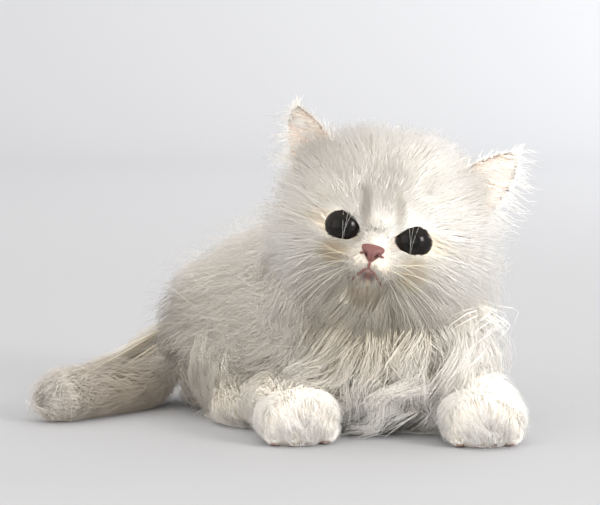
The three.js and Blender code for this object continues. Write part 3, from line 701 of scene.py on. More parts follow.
def grid_quads(rows: int, columns: int, around: bool, along_too: bool = False) -> Array:
    """Quads between the points of a grid, closed round its columns, and its rows if asked.

    Args:
        rows: rows of points.
        columns: points in a row.
        around: whether the last column meets the first.
        along_too: whether the last row meets the first.

    Returns:
        Four point numbers for each quad.
    """
    row = np.arange(rows if along_too else rows - 1)[:, None]
    column = np.arange(columns if around else columns - 1)[None]
    next_row, next_column = (row + 1) % rows, (column + 1) % columns
    corners = [(row, column), (row, next_column), (next_row, next_column), (next_row, column)]
    return np.stack([r * columns + c for r, c in corners], -1).reshape(-1, 4)


def rings_surface(rings: Array) -> Surface:
    """Closed surface of rings of points, with a point in the middle of each end ring.

    Args:
        rings: points by ring and place round it.

    Returns:
        The surface, facing outwards where the rings turn left along their way.
    """
    count, around = rings.shape[:2]
    points = np.concatenate([rings.reshape(-1, 3), rings[:1].mean(1), rings[-1:].mean(1)])
    step = np.arange(around)
    following = (step + 1) % around
    first, last = count * around, count * around + 1
    start = np.stack([np.full(around, first), following, step], -1)
    base = (count - 1) * around
    end = np.stack([np.full(around, last), base + step, base + following], -1)
    return Surface(points, grid_quads(count, around, True), np.concatenate([start, end]))


def join(surfaces: list[Surface]) -> Surface:
    """One surface of several, with the marks and the map of all of them."""
    offsets = np.cumsum([0] + [len(surface.points) for surface in surfaces[:-1]])
    return Surface(
        np.concatenate([s.points for s in surfaces]),
        np.concatenate([s.quads + offset for s, offset in zip(surfaces, offsets)]),
        np.concatenate([s.triangles + offset for s, offset in zip(surfaces, offsets)]),
        {mark: np.concatenate([s.marks[mark] for s in surfaces]) for mark in surfaces[0].marks},
        None if surfaces[0].uv is None else np.concatenate([s.uv for s in surfaces]),
        None if surfaces[0].normals is None else np.concatenate([s.normals for s in surfaces]),
    )


# Finishes


class Nodes:
    """Short ways to add and join the nodes of one tree."""

    def __init__(self, tree: Tree) -> None:
        """Keeps the tree."""
        self.tree = tree

    def fill(self, node: Node, inputs: Inputs) -> Node:
        """Gives a node's sockets their values, or joins them to sockets of other nodes."""
        for name, value in inputs.items():
            if isinstance(value, Output):
                self.tree.links.new(value, node.inputs[name])
            else:
                node.inputs[name].default_value = value
        return node

    def add(self, kind: str, inputs: Inputs | None = None, **settings: object) -> Node:
        """Adds a node.

        Args:
            kind: Blender's name for the kind of node.
            inputs: values for its sockets, or sockets of other nodes to join to them.
            settings: the node's own settings.

        Returns:
            The node.
        """
        node = self.tree.nodes.new(kind)
        for name, value in settings.items():
            setattr(node, name, value)
        return self.fill(node, inputs or {})

    def mark(self, name: str) -> Output:
        """Value of a mark of the mesh's points."""
        return self.add("ShaderNodeAttribute", attribute_name=name).outputs["Fac"]

    def place(self) -> Output:
        """Place on the object."""
        return self.add("ShaderNodeTexCoord").outputs["Object"]

    def maths(self, operation: str, first: object, second: object, third: object = 0.0) -> Output:
        """Result of a Math node."""
        inputs = {0: first, 1: second, 2: third}
        return self.add("ShaderNodeMath", inputs, operation=operation).outputs[0]

    def vector(self, operation: str, first: object, second: object = (0, 0, 0)) -> Node:
        """A Vector Math node."""
        return self.add("ShaderNodeVectorMath", {0: first, 1: second}, operation=operation)

    def blend(self, share: object, first: object, second: object) -> Output:
        """Colour mixed from two by a share."""
        inputs = {0: share, 6: first, 7: second}
        return self.add("ShaderNodeMix", inputs, data_type="RGBA").outputs[2]

    def toned(self, value: object, colour: object) -> Output:
        """A colour with its brightness multiplied by a value."""
        return self.add("ShaderNodeHueSaturation", {"Value": value, "Color": colour}).outputs[0]

    def step(
        self, value: object, low: float, high: float, first: float = 0.0, last: float = 1.0
    ) -> Output:
        """Smooth step of a value from low to high, as numbers from first to last."""
        inputs = {"Value": value, "From Min": low, "From Max": high, "To Min": first, "To Max": last}
        node = self.add("ShaderNodeMapRange", inputs, interpolation_type="SMOOTHSTEP")
        return node.outputs["Result"]


def opaque(colour: Colour) -> Four:
    """A colour with full alpha."""
    return (*colour, 1.0)


def new_group(name: str, inputs: dict[str, str], outputs: dict[str, str]) -> tuple[Nodes, Node, Node]:
    """Empty node group with named sockets.

    Args:
        name: name of the group.
        inputs: kind of socket for each input.
        outputs: kind of socket for each output.

    Returns:
        The group's nodes, its input node and its output node.
    """
    group = bpy.data.node_groups.new(name, "ShaderNodeTree")
    for way, sockets in (("INPUT", inputs), ("OUTPUT", outputs)):
        for socket, kind in sockets.items():
            group.interface.new_socket(socket, in_out=way, socket_type=kind)
    nodes = Nodes(group)
    return nodes, nodes.add("NodeGroupInput"), nodes.add("NodeGroupOutput")


def new_material(name: str) -> tuple[Material, Nodes, Node]:
    """Empty material, with its nodes and its shader."""
    material = bpy.data.materials.new(name)
    material.use_nodes = True
    return material, Nodes(material.node_tree), material.node_tree.nodes["Principled BSDF"]


@dataclass(frozen=True)
class FaceStainAndShade:
    """A soft patch of colour on the face: its place and spread, in millimetres, and strength."""

    across: float
    height: float
    wide: float
    tall: float
    colour: Colour
    strength: float


@dataclass(frozen=True)
class Shade:
    """A large soft patch of colour on the body: its place and spread, in millimetres. Cream on the chest,
    under the chin and on the flank is partly the coat's own colour and partly painted warm shade; the fawn on
    the tail and at its root is painted shade.
    """

    at: Vector
    spread: Vector
    colour: Colour
    strength: float


@dataclass(frozen=True)
class Markings:
    """Colour that skin and coat share: warm stains on the face, painted shade over the forehead, in its
    valleys and round the mouth's line, and on the body cream that is partly painted shade, with painted shade
    on the tail and at its root.
    """

    shades: tuple[Shade, ...] = (
        # Cream on the chest and under the chin: partly the coat's own colour, partly painted warm shade below
        # the head.
        Shade((-8, -6, 56), (60, 62, 48), (0.93, 0.79, 0.54), 0.55),
        Shade((-4, -32, 62), (34, 30, 26), (0.93, 0.79, 0.53), 0.5),
        # Cream on the right flank: partly the coat's own colour, partly painted shade on the side turned away
        # from the key light.
        Shade((-70, 70, 40), (80, 90, 70), (0.90, 0.79, 0.60), 0.35),
        # Painted shade: dark fawn over the tail, darkest low down, where the body shades it.
        Shade((-134, 88, 6), (82, 74, 40), (0.53, 0.44, 0.33), 0.85),
        # Painted shade where the tail's root meets the rump.
        Shade((-100, 112, 50), (42, 44, 22), (0.62, 0.57, 0.50), 0.75),
    )
    face_stains_and_shade: tuple[FaceStainAndShade, ...] = (
        FaceStainAndShade(-18, -12, 14, 9, (0.86, 0.68, 0.40), 0.85),
        FaceStainAndShade(19, -14, 12, 13, (0.88, 0.72, 0.44), 0.8),
        FaceStainAndShade(0, -27, 12, 10, (0.78, 0.60, 0.36), 0.7),
        # Round the mouth's line: partly the lips' own mauve, partly painted shade in the crease.
        FaceStainAndShade(0, -17.5, 5, 3.5, (0.50, 0.33, 0.30), 0.6),
        FaceStainAndShade(0, -19.5, 5.5, 4.5, (0.20, 0.085, 0.08), 0.95),
        FaceStainAndShade(-8, -4, 4, 5, (0.72, 0.52, 0.30), 0.35),
        FaceStainAndShade(8, -4, 4, 5, (0.72, 0.52, 0.30), 0.35),
        # Painted shade: a grey tone that darkens the forehead.
        FaceStainAndShade(0, 22, 15, 18, (0.80, 0.75, 0.66), 0.5),
        # Painted shade in the valleys of the forehead, which run up from the inner corners of the eyes.
        FaceStainAndShade(-8, 12, 4, 17, (0.46, 0.39, 0.30), 0.6),
        FaceStainAndShade(8, 12, 4, 15, (0.54, 0.47, 0.37), 0.5),
    )
    core: float = 0.2

    def group(self, head: HeadForm, placing: Placing) -> Tree:
        """Makes the node group, which lays each patch over a colour by its place in space.

        A patch has its full strength within its core, a share of its spread, and fades to its
        edge by a smooth step.

        Args:
            head: the head, which says where the face's stains and painted shade lie.
            placing: turns their places into metres.

        Returns:
            The group, from a colour and a place to a colour.
        """
        sockets = {"Colour": "NodeSocketColor", "Place": "NodeSocketVector"}
        nodes, start, end = new_group("Markings", sockets, {"Colour": "NodeSocketColor"})
        colour = start.outputs["Colour"]
        marks = list(self.shades)
        for face_patch in self.face_stains_and_shade:
            at = head.face_point(np.array(face_patch.across), np.array(face_patch.height))
            spread = (face_patch.wide, 0.5 * (face_patch.wide + face_patch.tall), face_patch.tall)
            marks.append(Shade(tuple(at), spread, face_patch.colour, face_patch.strength))
        for mark in marks:
            centre = tuple(placing.metres(np.array(mark.at, float)))
            scale = tuple(1 / placing.length(size) for size in mark.spread)
            away = nodes.vector("SUBTRACT", start.outputs["Place"], centre).outputs[0]
            scaled = nodes.vector("MULTIPLY", away, scale).outputs[0]
            distance = nodes.vector("LENGTH", scaled).outputs["Value"]
            share = nodes.step(distance, self.core, 1.0, mark.strength, 0.0)
            colour = nodes.blend(share, colour, opaque(mark.colour))
        nodes.fill(end, {"Colour": colour})
        return nodes.tree


def mottle_group() -> Tree:
    """Node group for a fine, uneven tone: noise of several sizes lightens and darkens a colour."""
    inputs = {
        "Colour": "NodeSocketColor",
        "Place": "NodeSocketVector",
        "Scale": "NodeSocketFloat",
        "Strength": "NodeSocketFloat",
    }
    outputs = {"Colour": "NodeSocketColor", "Height": "NodeSocketFloat"}
    nodes, start, end = new_group("Mottle", inputs, outputs)
    sizes = {"Vector": start.outputs["Place"], "Scale": start.outputs["Scale"]}
    noise = nodes.add("ShaderNodeTexNoise", sizes | {"Detail": 4.0, "Roughness": 0.6}).outputs[0]
    offset = nodes.maths("SUBTRACT", noise, 0.5)
    value = nodes.maths("MULTIPLY_ADD", offset, start.outputs["Strength"], 1.0)
    nodes.fill(end, {"Colour": nodes.toned(value, start.outputs["Colour"]), "Height": noise})
    return nodes.tree


@dataclass(frozen=True)
class Palette:
    """The node groups that several finishes share."""

    markings: Tree
    mottle: Tree


@dataclass(frozen=True)
class CoatFinish:
    """Hair: darker and warmer at its root than at its tip, with each hair a little different.

    Wide tufts carry fine lines along them, in tone and in relief, as if of single hairs.
    """

    name: str = "coat"
    root: Colour = (0.92, 0.81, 0.63)
    tip: Colour = (0.97, 0.945, 0.90)
    root_end: float = 0.45
    # Above 1, so the coat's colour gives back more light than falls on it: painted light.
    brightness: float = 1.5
    variation: float = 0.09
    lines: float = 4
    line_change: float = 90.0
    line_tone: float = 0.08
    line_relief: float = 0.12
    line_depth: float = 0.0003
    roughness: float = 0.65
    sheen: float = 0.35
    specular: float = 0.35

    def material(self, palette: Palette) -> Material:
        """Makes the material, which reads the marks along, across and tint of each hair."""
        material, nodes, shader = new_material(self.name)
        along_hair, across_hair, tint = (nodes.mark(name) for name in ("along", "across", "tint"))
        in_tip = nodes.step(along_hair, 0.0, self.root_end)
        colour = nodes.blend(in_tip, opaque(self.root), opaque(self.tip))
        strip = {
            "X": nodes.maths("MULTIPLY", across_hair, self.lines),
            "Y": along_hair,
            "Z": nodes.maths("MULTIPLY", tint, self.line_change),
        }
        place = nodes.add("ShaderNodeCombineXYZ", strip).outputs[0]
        noise = {"Vector": place, "Scale": 1.0, "Detail": 2.0}
        lines = nodes.add("ShaderNodeTexNoise", noise).outputs[0]
        # The brightness lifts the coat's colour above 1, so the fur gives back more light than falls on it:
        # painted light over the whole coat, its shade too.
        own = nodes.maths("MULTIPLY_ADD", tint, self.variation, self.brightness - 0.7 * self.variation)
        value = nodes.maths("MULTIPLY_ADD", nodes.maths("SUBTRACT", lines, 0.5), self.line_tone, own)
        relief = {"Strength": self.line_relief, "Distance": self.line_depth, "Height": lines}
        inputs = {"Colour": nodes.toned(value, colour), "Place": nodes.place()}
        # The group lays the face's stains, and painted shade on the face and body, over the hair's colour.
        marked_and_shaded = nodes.add("ShaderNodeGroup", inputs, node_tree=palette.markings)
        look = {
            "Base Color": marked_and_shaded.outputs["Colour"],
            "Normal": nodes.add("ShaderNodeBump", relief).outputs[0],
            "Roughness": self.roughness,
            "Sheen Weight": self.sheen,
            "Specular IOR Level": self.specular,
        }
        nodes.fill(shader, look)
        return material


@dataclass(frozen=True)
class SkinFinish:
    """Bare skin under thin hair: a soft colour with pores, and the coat's markings and painted shade."""

    name: str
    colour: Colour
    roughness: float = 0.6
    mottle: float = 0.2
    scale: float = 900
    bump: float = 0.15
    pore_depth: float = 0.0005
    marked_and_shaded: bool = True
    rim: Colour | None = None
    coat: float = 0.0

    def material(self, palette: Palette) -> Material:
        """Makes the material, which turns to the rim colour where the mark rim is 1."""
        material, nodes, shader = new_material(self.name)
        place = nodes.place()
        colour: object = opaque(self.colour)
        if self.rim is not None:
            colour = nodes.blend(nodes.mark("rim"), colour, opaque(self.rim))
        inputs = {"Colour": colour, "Place": place, "Scale": self.scale, "Strength": self.mottle}
        mottle = nodes.add("ShaderNodeGroup", inputs, node_tree=palette.mottle)
        colour = mottle.outputs["Colour"]
        if self.marked_and_shaded:
            inputs = {"Colour": colour, "Place": place}
            colour = nodes.add("ShaderNodeGroup", inputs, node_tree=palette.markings).outputs["Colour"]
        pores = {"Strength": self.bump, "Distance": self.pore_depth, "Height": mottle.outputs["Height"]}
        normal = nodes.add("ShaderNodeBump", pores).outputs[0]
        nodes.fill(shader, {"Base Color": colour, "Normal": normal})
        nodes.fill(shader, {"Roughness": self.roughness, "Coat Weight": self.coat})
        return material


@dataclass(frozen=True)
class EyeFinish:
    """A dark, wet eye: wide pupil, fibrous iris and black rim, under a clear glossy front."""

    name: str = "eye"
    pupil: Colour = (0.004, 0.004, 0.004)
    iris: Colour = (0.010, 0.008, 0.007)
    rim: Colour = (0.008, 0.006, 0.006)
    pupil_edge: float = 0.42
    rim_edge: float = 0.72
    soft: float = 0.07
    fibres: float = 60
    fibre_tones: Pair = (0.55, 1.7)
    roughness: float = 0.12
    specular: float = 0.05
    front_roughness: float = 0.02
    front_ior: float = 1.24

    def material(self) -> Material:
        """Makes the material, which reads the marks ring and turn of the eye's points."""
        material, nodes, shader = new_material(self.name)
        ring, turn = nodes.mark("ring"), nodes.mark("turn")
        spoke = {"X": nodes.maths("MULTIPLY", turn, self.fibres), "Y": ring}
        place = nodes.add("ShaderNodeCombineXYZ", spoke).outputs[0]
        fibres = nodes.add("ShaderNodeTexNoise", {"Vector": place, "Scale": 1.0, "Detail": 3.0})
        iris = nodes.toned(nodes.step(fibres.outputs[0], 0.3, 0.7, *self.fibre_tones), opaque(self.iris))
        in_iris = nodes.step(ring, self.pupil_edge - self.soft, self.pupil_edge + self.soft)
        in_rim = nodes.step(ring, self.rim_edge - self.soft, self.rim_edge + self.soft)
        inner = nodes.blend(in_iris, opaque(self.pupil), iris)
        look = {
            "Base Color": nodes.blend(in_rim, inner, opaque(self.rim)),
            "Roughness": self.roughness,
            "Specular IOR Level": self.specular,
            "Coat Weight": 1.0,
            "Coat Roughness": self.front_roughness,
            "Coat IOR": self.front_ior,
        }
        nodes.fill(shader, look)
        return material


@dataclass(frozen=True)
class StageFinish:
    """Plain matt paper."""

    name: str = "paper"
    colour: Colour = (0.55, 0.56, 0.585)
    roughness: float = 0.85
    specular: float = 0.1

    def material(self) -> Material:
        """Makes the material."""
        material, nodes, shader = new_material(self.name)
        nodes.fill(shader, {"Base Color": opaque(self.colour), "Roughness": self.roughness})
        nodes.fill(shader, {"Specular IOR Level": self.specular})
        return material


# Hair

CELL_PRIMES = np.array([73856093, 19349663, 83492791])
MAP_PATCH = 0.003


def cell_noise(cells: Array, seed: int) -> Array:
    """Three even random numbers from 0 to 1 for each whole-numbered cell, always the same."""
    mixed = (cells.astype(np.int64) * CELL_PRIMES).sum(-1) + seed * 7919
    numbers = np.stack([mixed * factor + shift for factor, shift in ((1, 1), (31, 17), (127, 71))], -1)
    numbers = (numbers ^ (numbers >> 13)) * 1274126177
    return ((numbers ^ (numbers >> 16)) & 0xFFFF) / 0xFFFF


def gather(points: Array, size: float, seed: int) -> tuple[Array, Array]:
    """Tufts: the nearest of the middles strewn through space, one in each cell of that size.

    Args:
        points: roots of hair.
        size: width of a cell.
        seed: choice of random numbers.

    Returns:
        The middle of each root's tuft, and three random numbers of the tuft.
    """
    own = np.floor(points / size)
    middle, cell = points.copy(), own.copy()
    nearest = np.full(len(points), np.inf)
    for step in np.ndindex(3, 3, 3):
        other = own + np.array(step) - 1
        centre = (other + cell_noise(other, seed)) * size
        away = ((centre - points) ** 2).sum(-1)
        closer = away < nearest
        nearest = np.where(closer, away, nearest)
        middle = np.where(closer[:, None], centre, middle)
        cell = np.where(closer[:, None], other, cell)
    return middle, cell_noise(cell, seed + 1)


@dataclass(frozen=True)
class Hair:
    """Habit of the hair over a patch of the body, in millimetres.

    Attributes:
        density: hairs to a square millimetre of skin.
        steps: bends from root to tip.
        width: width of a hair's middle.
        length: its length where the coat has no depth.
        stretch: length that it gains for each unit of the coat's depth.
        reach: range of layers that tips reach.
        rise: how late a hair rises, where 1 is a sine.
        comb: direction that the hair is drawn to, in the kitten's axes.
        stray: random turn of each hair.
        sway: random turn of each lock.
        tuft: size of the small tufts, and how far hairs draw together in them.
        lock: size of the larger locks, and how far hairs draw together in them.
        curl: sideways wave of a lock, and how many waves it has.
        lean: turn of all the hair of the patch.
        ridge: height of a hair's ridge, for half its width.
        soft: how far its shading follows the form of the body.
    """

    density: float = 1.0
    steps: int = 3
    width: float = 0.4
    length: float = 5.0
    stretch: float = 1.5
    reach: Pair = (0.55, 1.0)
    rise: float = 0.8
    comb: Vector = (0, 0, 0)
    stray: float = 0.15
    sway: float = 0.35
    tuft: Pair = (4.0, 0.5)
    lock: Pair = (15.0, 0.25)
    curl: Pair = (0.0, 1.0)
    lean: float = 0.0
    ridge: float = 0.6
    soft: float = 0.65


@dataclass(frozen=True)
class Patch:
    """A range of shares and angles, in degrees, of a form, with the hair that grows there."""

    form: str
    shares: Pair
    hair: Hair
    angles: Pair = (0, 360)


@dataclass
class Strands:
    """Hairs as paths of points with their outward directions, widths, tints and map places."""

    paths: Array
    outward: Array
    width: Array
    tint: Array
    place: Array
    ridge: float = 0.6
    soft: float = 0.65

    def surface(self) -> Surface:
        """Closed three-sided blades along the paths.

        Each ring has two edge points and a ridge. The blade is widest a quarter of the way up
        and narrows to a point: one less the share along it to the power 1.7. The shading
        directions of its upper side are a mix of its own and those of the body, and those of
        its lower side lean to its tip, so that the coat looks soft from every side.

        Returns:
            The surface, with the marks along, across and tint, shading directions, and a map
            with a small patch for each hair.
        """
        count, rings = self.paths.shape[0], self.paths.shape[1] - 1
        t = np.arange(rings) / rings
        heading = unit(np.gradient(self.paths, axis=1))[:, :-1]
        side = unit(np.cross(heading, self.outward[:, :-1]))
        up = np.cross(side, heading)
        half = (0.5 * self.width[:, None] * (1 - t**1.7) * (0.6 + 0.4 * np.minimum(4 * t, 1)))[..., None]
        middle, low = self.paths[:, :-1], -0.5 * self.ridge * up
        ridge = middle + up * self.ridge * half
        corners = np.stack([middle + (side + low) * half, ridge, middle + (low - side) * half], 2)
        tilt = min(self.ridge, 0.6)
        own = np.stack([unit(up + side * tilt), up, unit(up - side * tilt)], 2)
        above = unit(self.outward[:, :-1, None] * self.soft + own * (1 - self.soft))
        above = np.concatenate([above.reshape(count, -1, 3), self.outward[:, -1:]], 1)
        below = unit(heading - 0.7 * up)
        below = np.concatenate([np.repeat(below, 3, 1), below[:, -1:]], 1)
        points = np.concatenate([corners.reshape(count, -1, 3), self.paths[:, -1:]], 1)
        size = points.shape[1]
        ring = grid_quads(rings, 3, True)[:, [0, 3, 2, 1]]
        triangles = np.concatenate([ring[:, [0, 1, 2]], ring[:, [0, 2, 3]], self.ends(rings)])
        lower = np.arange(len(ring)) % 3 == 2
        lower = np.concatenate([lower, lower, [False, False, False, True]])
        facing = np.where(lower[:, None, None], below[:, triangles], above[:, triangles])
        faces = np.arange(count)[:, None, None] * size + triangles
        shares = np.concatenate([np.repeat(t, 3), [1.0]])
        corner = np.concatenate([np.tile(np.linspace(-0.5, 0.5, 3), rings), [0.0]])
        uv = self.place[:, None] + np.stack([corner, shares - 0.5], -1) * MAP_PATCH
        across = np.concatenate([np.tile([0.0, 0.5, 1.0], rings), [0.5]]) * self.width[:, None]
        marks = {
            "along": np.tile(shares, count),
            "across": across.ravel(),
            "tint": np.repeat(self.tint, size),
        }
        points, faces, facing = (a.reshape(-1, 3) for a in (points, faces, facing))
        return Surface(points, np.zeros((0, 4), int), faces, marks, uv.reshape(-1, 2), facing)

    @staticmethod
    def ends(rings: int) -> Array:
        """Triangles that close a blade at its root and at its tip."""
        last, tip = 3 * (rings - 1), 3 * rings
        return np.array([[0, 1, 2]] + [[last + i, tip, last + (i + 1) % 3] for i in range(3)])


@dataclass
class Groomer:
    """Grows the hair of patches, clear of the eyes, nose and mouth and out of the other forms."""

    anatomy: Anatomy
    bare: list[Bare]
    rng: np.random.Generator
    cells: tuple[int, int] = (48, 60)
    lowest_root: float = 1.0
    floor: float = 0.4
    shorter: tuple[float, ...] = (0.6, 0.35)
    sunk: float = -1.5

    def roots(self, form: Form, patch: Patch) -> tuple[Array, Array]:
        """Roots spread evenly over the skin of a patch, by the areas of small cells of it.

        Args:
            form: form of the patch.
            patch: its ranges and density.

        Returns:
            Shares and angles of the roots.
        """
        rows, columns = self.cells
        share = np.linspace(*patch.shares, rows + 1)
        angle = np.radians(np.linspace(*patch.angles, columns + 1))
        grid = form.point(share[:, None], angle[None], 0.0)
        first, second = grid[1:, 1:] - grid[:-1, :-1], grid[1:, :-1] - grid[:-1, 1:]
        area = 0.5 * np.linalg.norm(np.cross(first, second), axis=-1).ravel()
        count = int(area.sum() * patch.hair.density)
        cell = np.searchsorted(np.cumsum(area) / area.sum(), self.rng.random(count) * 0.999999)
        row, column = np.divmod(cell, columns)
        row, column = row + self.rng.random(count), column + self.rng.random(count)
        return (
            patch.shares[0] + row / rows * (patch.shares[1] - patch.shares[0]),
            np.radians(patch.angles[0] + column / columns * (patch.angles[1] - patch.angles[0])),
        )

    def buried(self, points: Array, name: str, extra: float) -> Array:
        """True for points inside any form but the named one, grown by extra."""
        others = [form for other, form in self.anatomy.forms.items() if other != name]
        return np.any([form.inside(points, extra) for form in others], axis=0)

    def covers(self, path: Array, name: str) -> Array:
        """True for hairs of the named form that cross what is bare or end inside another form."""
        covers = self.buried(path[:, -1], name, self.sunk)
        for bare in self.bare:
            covers |= bare.holds(path[:, 1:].reshape(-1, 3)).reshape(len(path), -1).any(1)
        return covers

    def paths(
        self, form: Form, share: Array, angle: Array, hair: Hair, scale: float, draws: Array
    ) -> tuple[Array, Array]:
        """Paths of hairs over a form.

        A hair starts in the skin and rises to its layer by a power of a sine, while it runs
        along the share of its form, turned by its lock's sway and its own stray, and drawn the
        way it is combed. Near the ends of a form only the comb counts, and hair runs less far
        and stands out more. The ends of the hairs of a tuft, and of a lock, draw together by
        growing shares. A curl swings a lock from side to side by a sine.

        Args:
            form: form that the hairs grow on.
            share: shares of the roots.
            angle: angles of the roots.
            hair: their habit.
            scale: factor of their length.
            draws: four random numbers for each hair.

        Returns:
            The paths, and the outward direction at each of their points.
        """
        root = form.point(share, angle, 0.0)
        depth = np.linalg.norm(form.point(share, angle, 1.0) - root, axis=-1)
        outward = unit(form.point(share, angle, 0.5, 1.0) - form.point(share, angle, 0.5))
        tuft_middle, tuft_noise = gather(root, hair.tuft[0], 3)
        lock_middle, lock_noise = gather(root, hair.lock[0], 5)
        length = (hair.length + hair.stretch * depth) * scale
        length *= 0.8 + 0.25 * lock_noise[:, 0] + 0.2 * draws[:, 0]
        low, high = hair.reach
        reach = low + (high - low) * (0.6 * draws[:, 1] ** 0.5 + 0.4 * lock_noise[:, 1])
        reach *= 1 + 0.6 * form.ending(share)
        turn = hair.stray * (draws[:, 2] * 4 - 2) + hair.sway * (lock_noise[:, 2] * 2 - 1) + hair.lean
        nudge, comb = 1e-3, np.array(hair.comb)
        places, facing = [], []
        for step in range(hair.steps + 1):
            t = step / hair.steps
            layer = reach * math.sin(t * math.pi / 2) ** hair.rise
            at = form.point(share, angle, layer, t - 1)
            places.append(at)
            facing.append(unit(form.point(share, angle, layer, t) - at))
            ahead = (form.point(share + nudge, angle, layer, t - 1) - at) / nudge
            aside = (form.point(share, angle + nudge, layer, t - 1) - at) / nudge
            close = form.ending(share)
            drawn = 1 + 2.5 * close
            forth = np.cos(turn) * (1 - close) + unit(ahead) @ comb * drawn
            over = np.sin(turn) * (1 - close) + unit(aside) @ comb * drawn
            stride = length / hair.steps * (1 - 0.5 * close) / np.maximum(np.hypot(forth, over), 0.3)
            share = share + stride * forth / np.maximum(np.linalg.norm(ahead, axis=-1), 1)
            angle = angle + stride * over / np.maximum(np.linalg.norm(aside, axis=-1), 4)
        path = np.stack(places, 1)
        t = np.linspace(0, 1, hair.steps + 1)
        for (_, pull), middle in ((hair.tuft, tuft_middle), (hair.lock, lock_middle)):
            away = middle - root
            away -= (away * outward).sum(-1, keepdims=True) * outward
            path += away[:, None] * (pull * t**1.3)[None, :, None]
        swing, waves = hair.curl
        if swing > 0:
            side = unit(np.cross(path[:, -1] - path[:, 0], outward))
            phase = lock_noise[:, :1] + 0.15 * tuft_noise[:, :1]
            wave = np.sin(2 * math.pi * (waves * t[None] + phase)) - np.sin(2 * math.pi * phase)
            lift = np.cos(2 * math.pi * (waves * t[None] + phase)) - np.cos(2 * math.pi * phase)
            size = swing * (0.5 + lock_noise[:, 1:2]) * t[None]
            path += (size * wave)[..., None] * side[:, None]
            path += 0.5 * (size * lift)[..., None] * outward[:, None]
        path[..., 2] = np.maximum(path[..., 2], self.floor + draws[:, 3:4])
        return path, np.stack(facing, 1)

    def grow(self, patch: Patch, cell: Vector) -> Strands:
        """Hair of one patch.

        A hair that would cover what is bare, or end inside another form, is made shorter, and
        left out if that doesn't help.

        Args:
            patch: the patch.
            cell: corner and size of its part of the map.

        Returns:
            The hairs that stay clear of what is bare and of the other forms.
        """
        form, hair = self.anatomy.forms[patch.form], patch.hair
        share, angle = self.roots(form, patch)
        root = form.point(share, angle, 0.0)
        kept = ~self.buried(root, patch.form, 0.0) & (root[:, 2] > self.lowest_root)
        for bare in self.bare:
            kept &= ~bare.holds(root)
        share, angle = share[kept], angle[kept]
        draws = self.rng.random((len(share), 4))
        path, outward = self.paths(form, share, angle, hair, 1.0, draws)
        for scale in self.shorter:
            long = self.covers(path, patch.form)
            if long.any():
                path[long], outward[long] = self.paths(
                    form, share[long], angle[long], hair, scale, draws[long]
                )
        clear = ~self.covers(path, patch.form)
        share, angle, draws, path, outward = (a[clear] for a in (share, angle, draws, path, outward))
        span = patch.shares[1] - patch.shares[0]
        turns = math.radians(patch.angles[1] - patch.angles[0])
        round_it = (angle - math.radians(patch.angles[0])) / turns
        unwrapped = np.stack([round_it, (share - patch.shares[0]) / span], -1)
        place = np.array(cell[:2]) + cell[2] * (0.02 + 0.96 * np.clip(unwrapped, 0, 1))
        width = hair.width * (0.7 + 0.6 * draws[:, 0])
        _, lock_noise = gather(path[:, 0], hair.lock[0], 5)
        tint = 0.5 * draws[:, 1] + 0.5 * lock_noise[:, 1]
        return Strands(path, outward, width, tint, place, hair.ridge, hair.soft)


@dataclass
class Bare:
    """An oval of the face that hair keeps off, across and up it."""

    head: HeadForm
    across: float
    height: float
    wide: float
    tall: float
    behind: float = -14

    def holds(self, points: Array) -> Array:
        """True for points in front of the face within the oval."""
        x, y, z = np.moveaxis(self.head.local(points), -1, 0)
        oval = ((x - self.across) / self.wide) ** 2 + ((y - self.height) / self.tall) ** 2
        return (oval < 1) & (z > self.behind)


@dataclass
class Coat:
    """One piece of the coat: several patches, joined."""

    name: str
    patches: tuple[Patch, ...]

    def build(self, groomer: Groomer, placing: Placing, material: Material) -> Piece:
        """Grows the patches, each with its own square of the map, and makes one mesh."""
        forms = list(dict.fromkeys(patch.form for patch in self.patches))
        across = math.ceil(math.sqrt(len(forms)))
        surfaces = []
        for patch in self.patches:
            row, column = divmod(forms.index(patch.form), across)
            cell = (column / across, row / across, 1 / across)
            surfaces.append(groomer.grow(patch, cell).surface())
        piece = join(surfaces).build(self.name, placing, material)
        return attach(piece, "root")


# Sub-assemblies


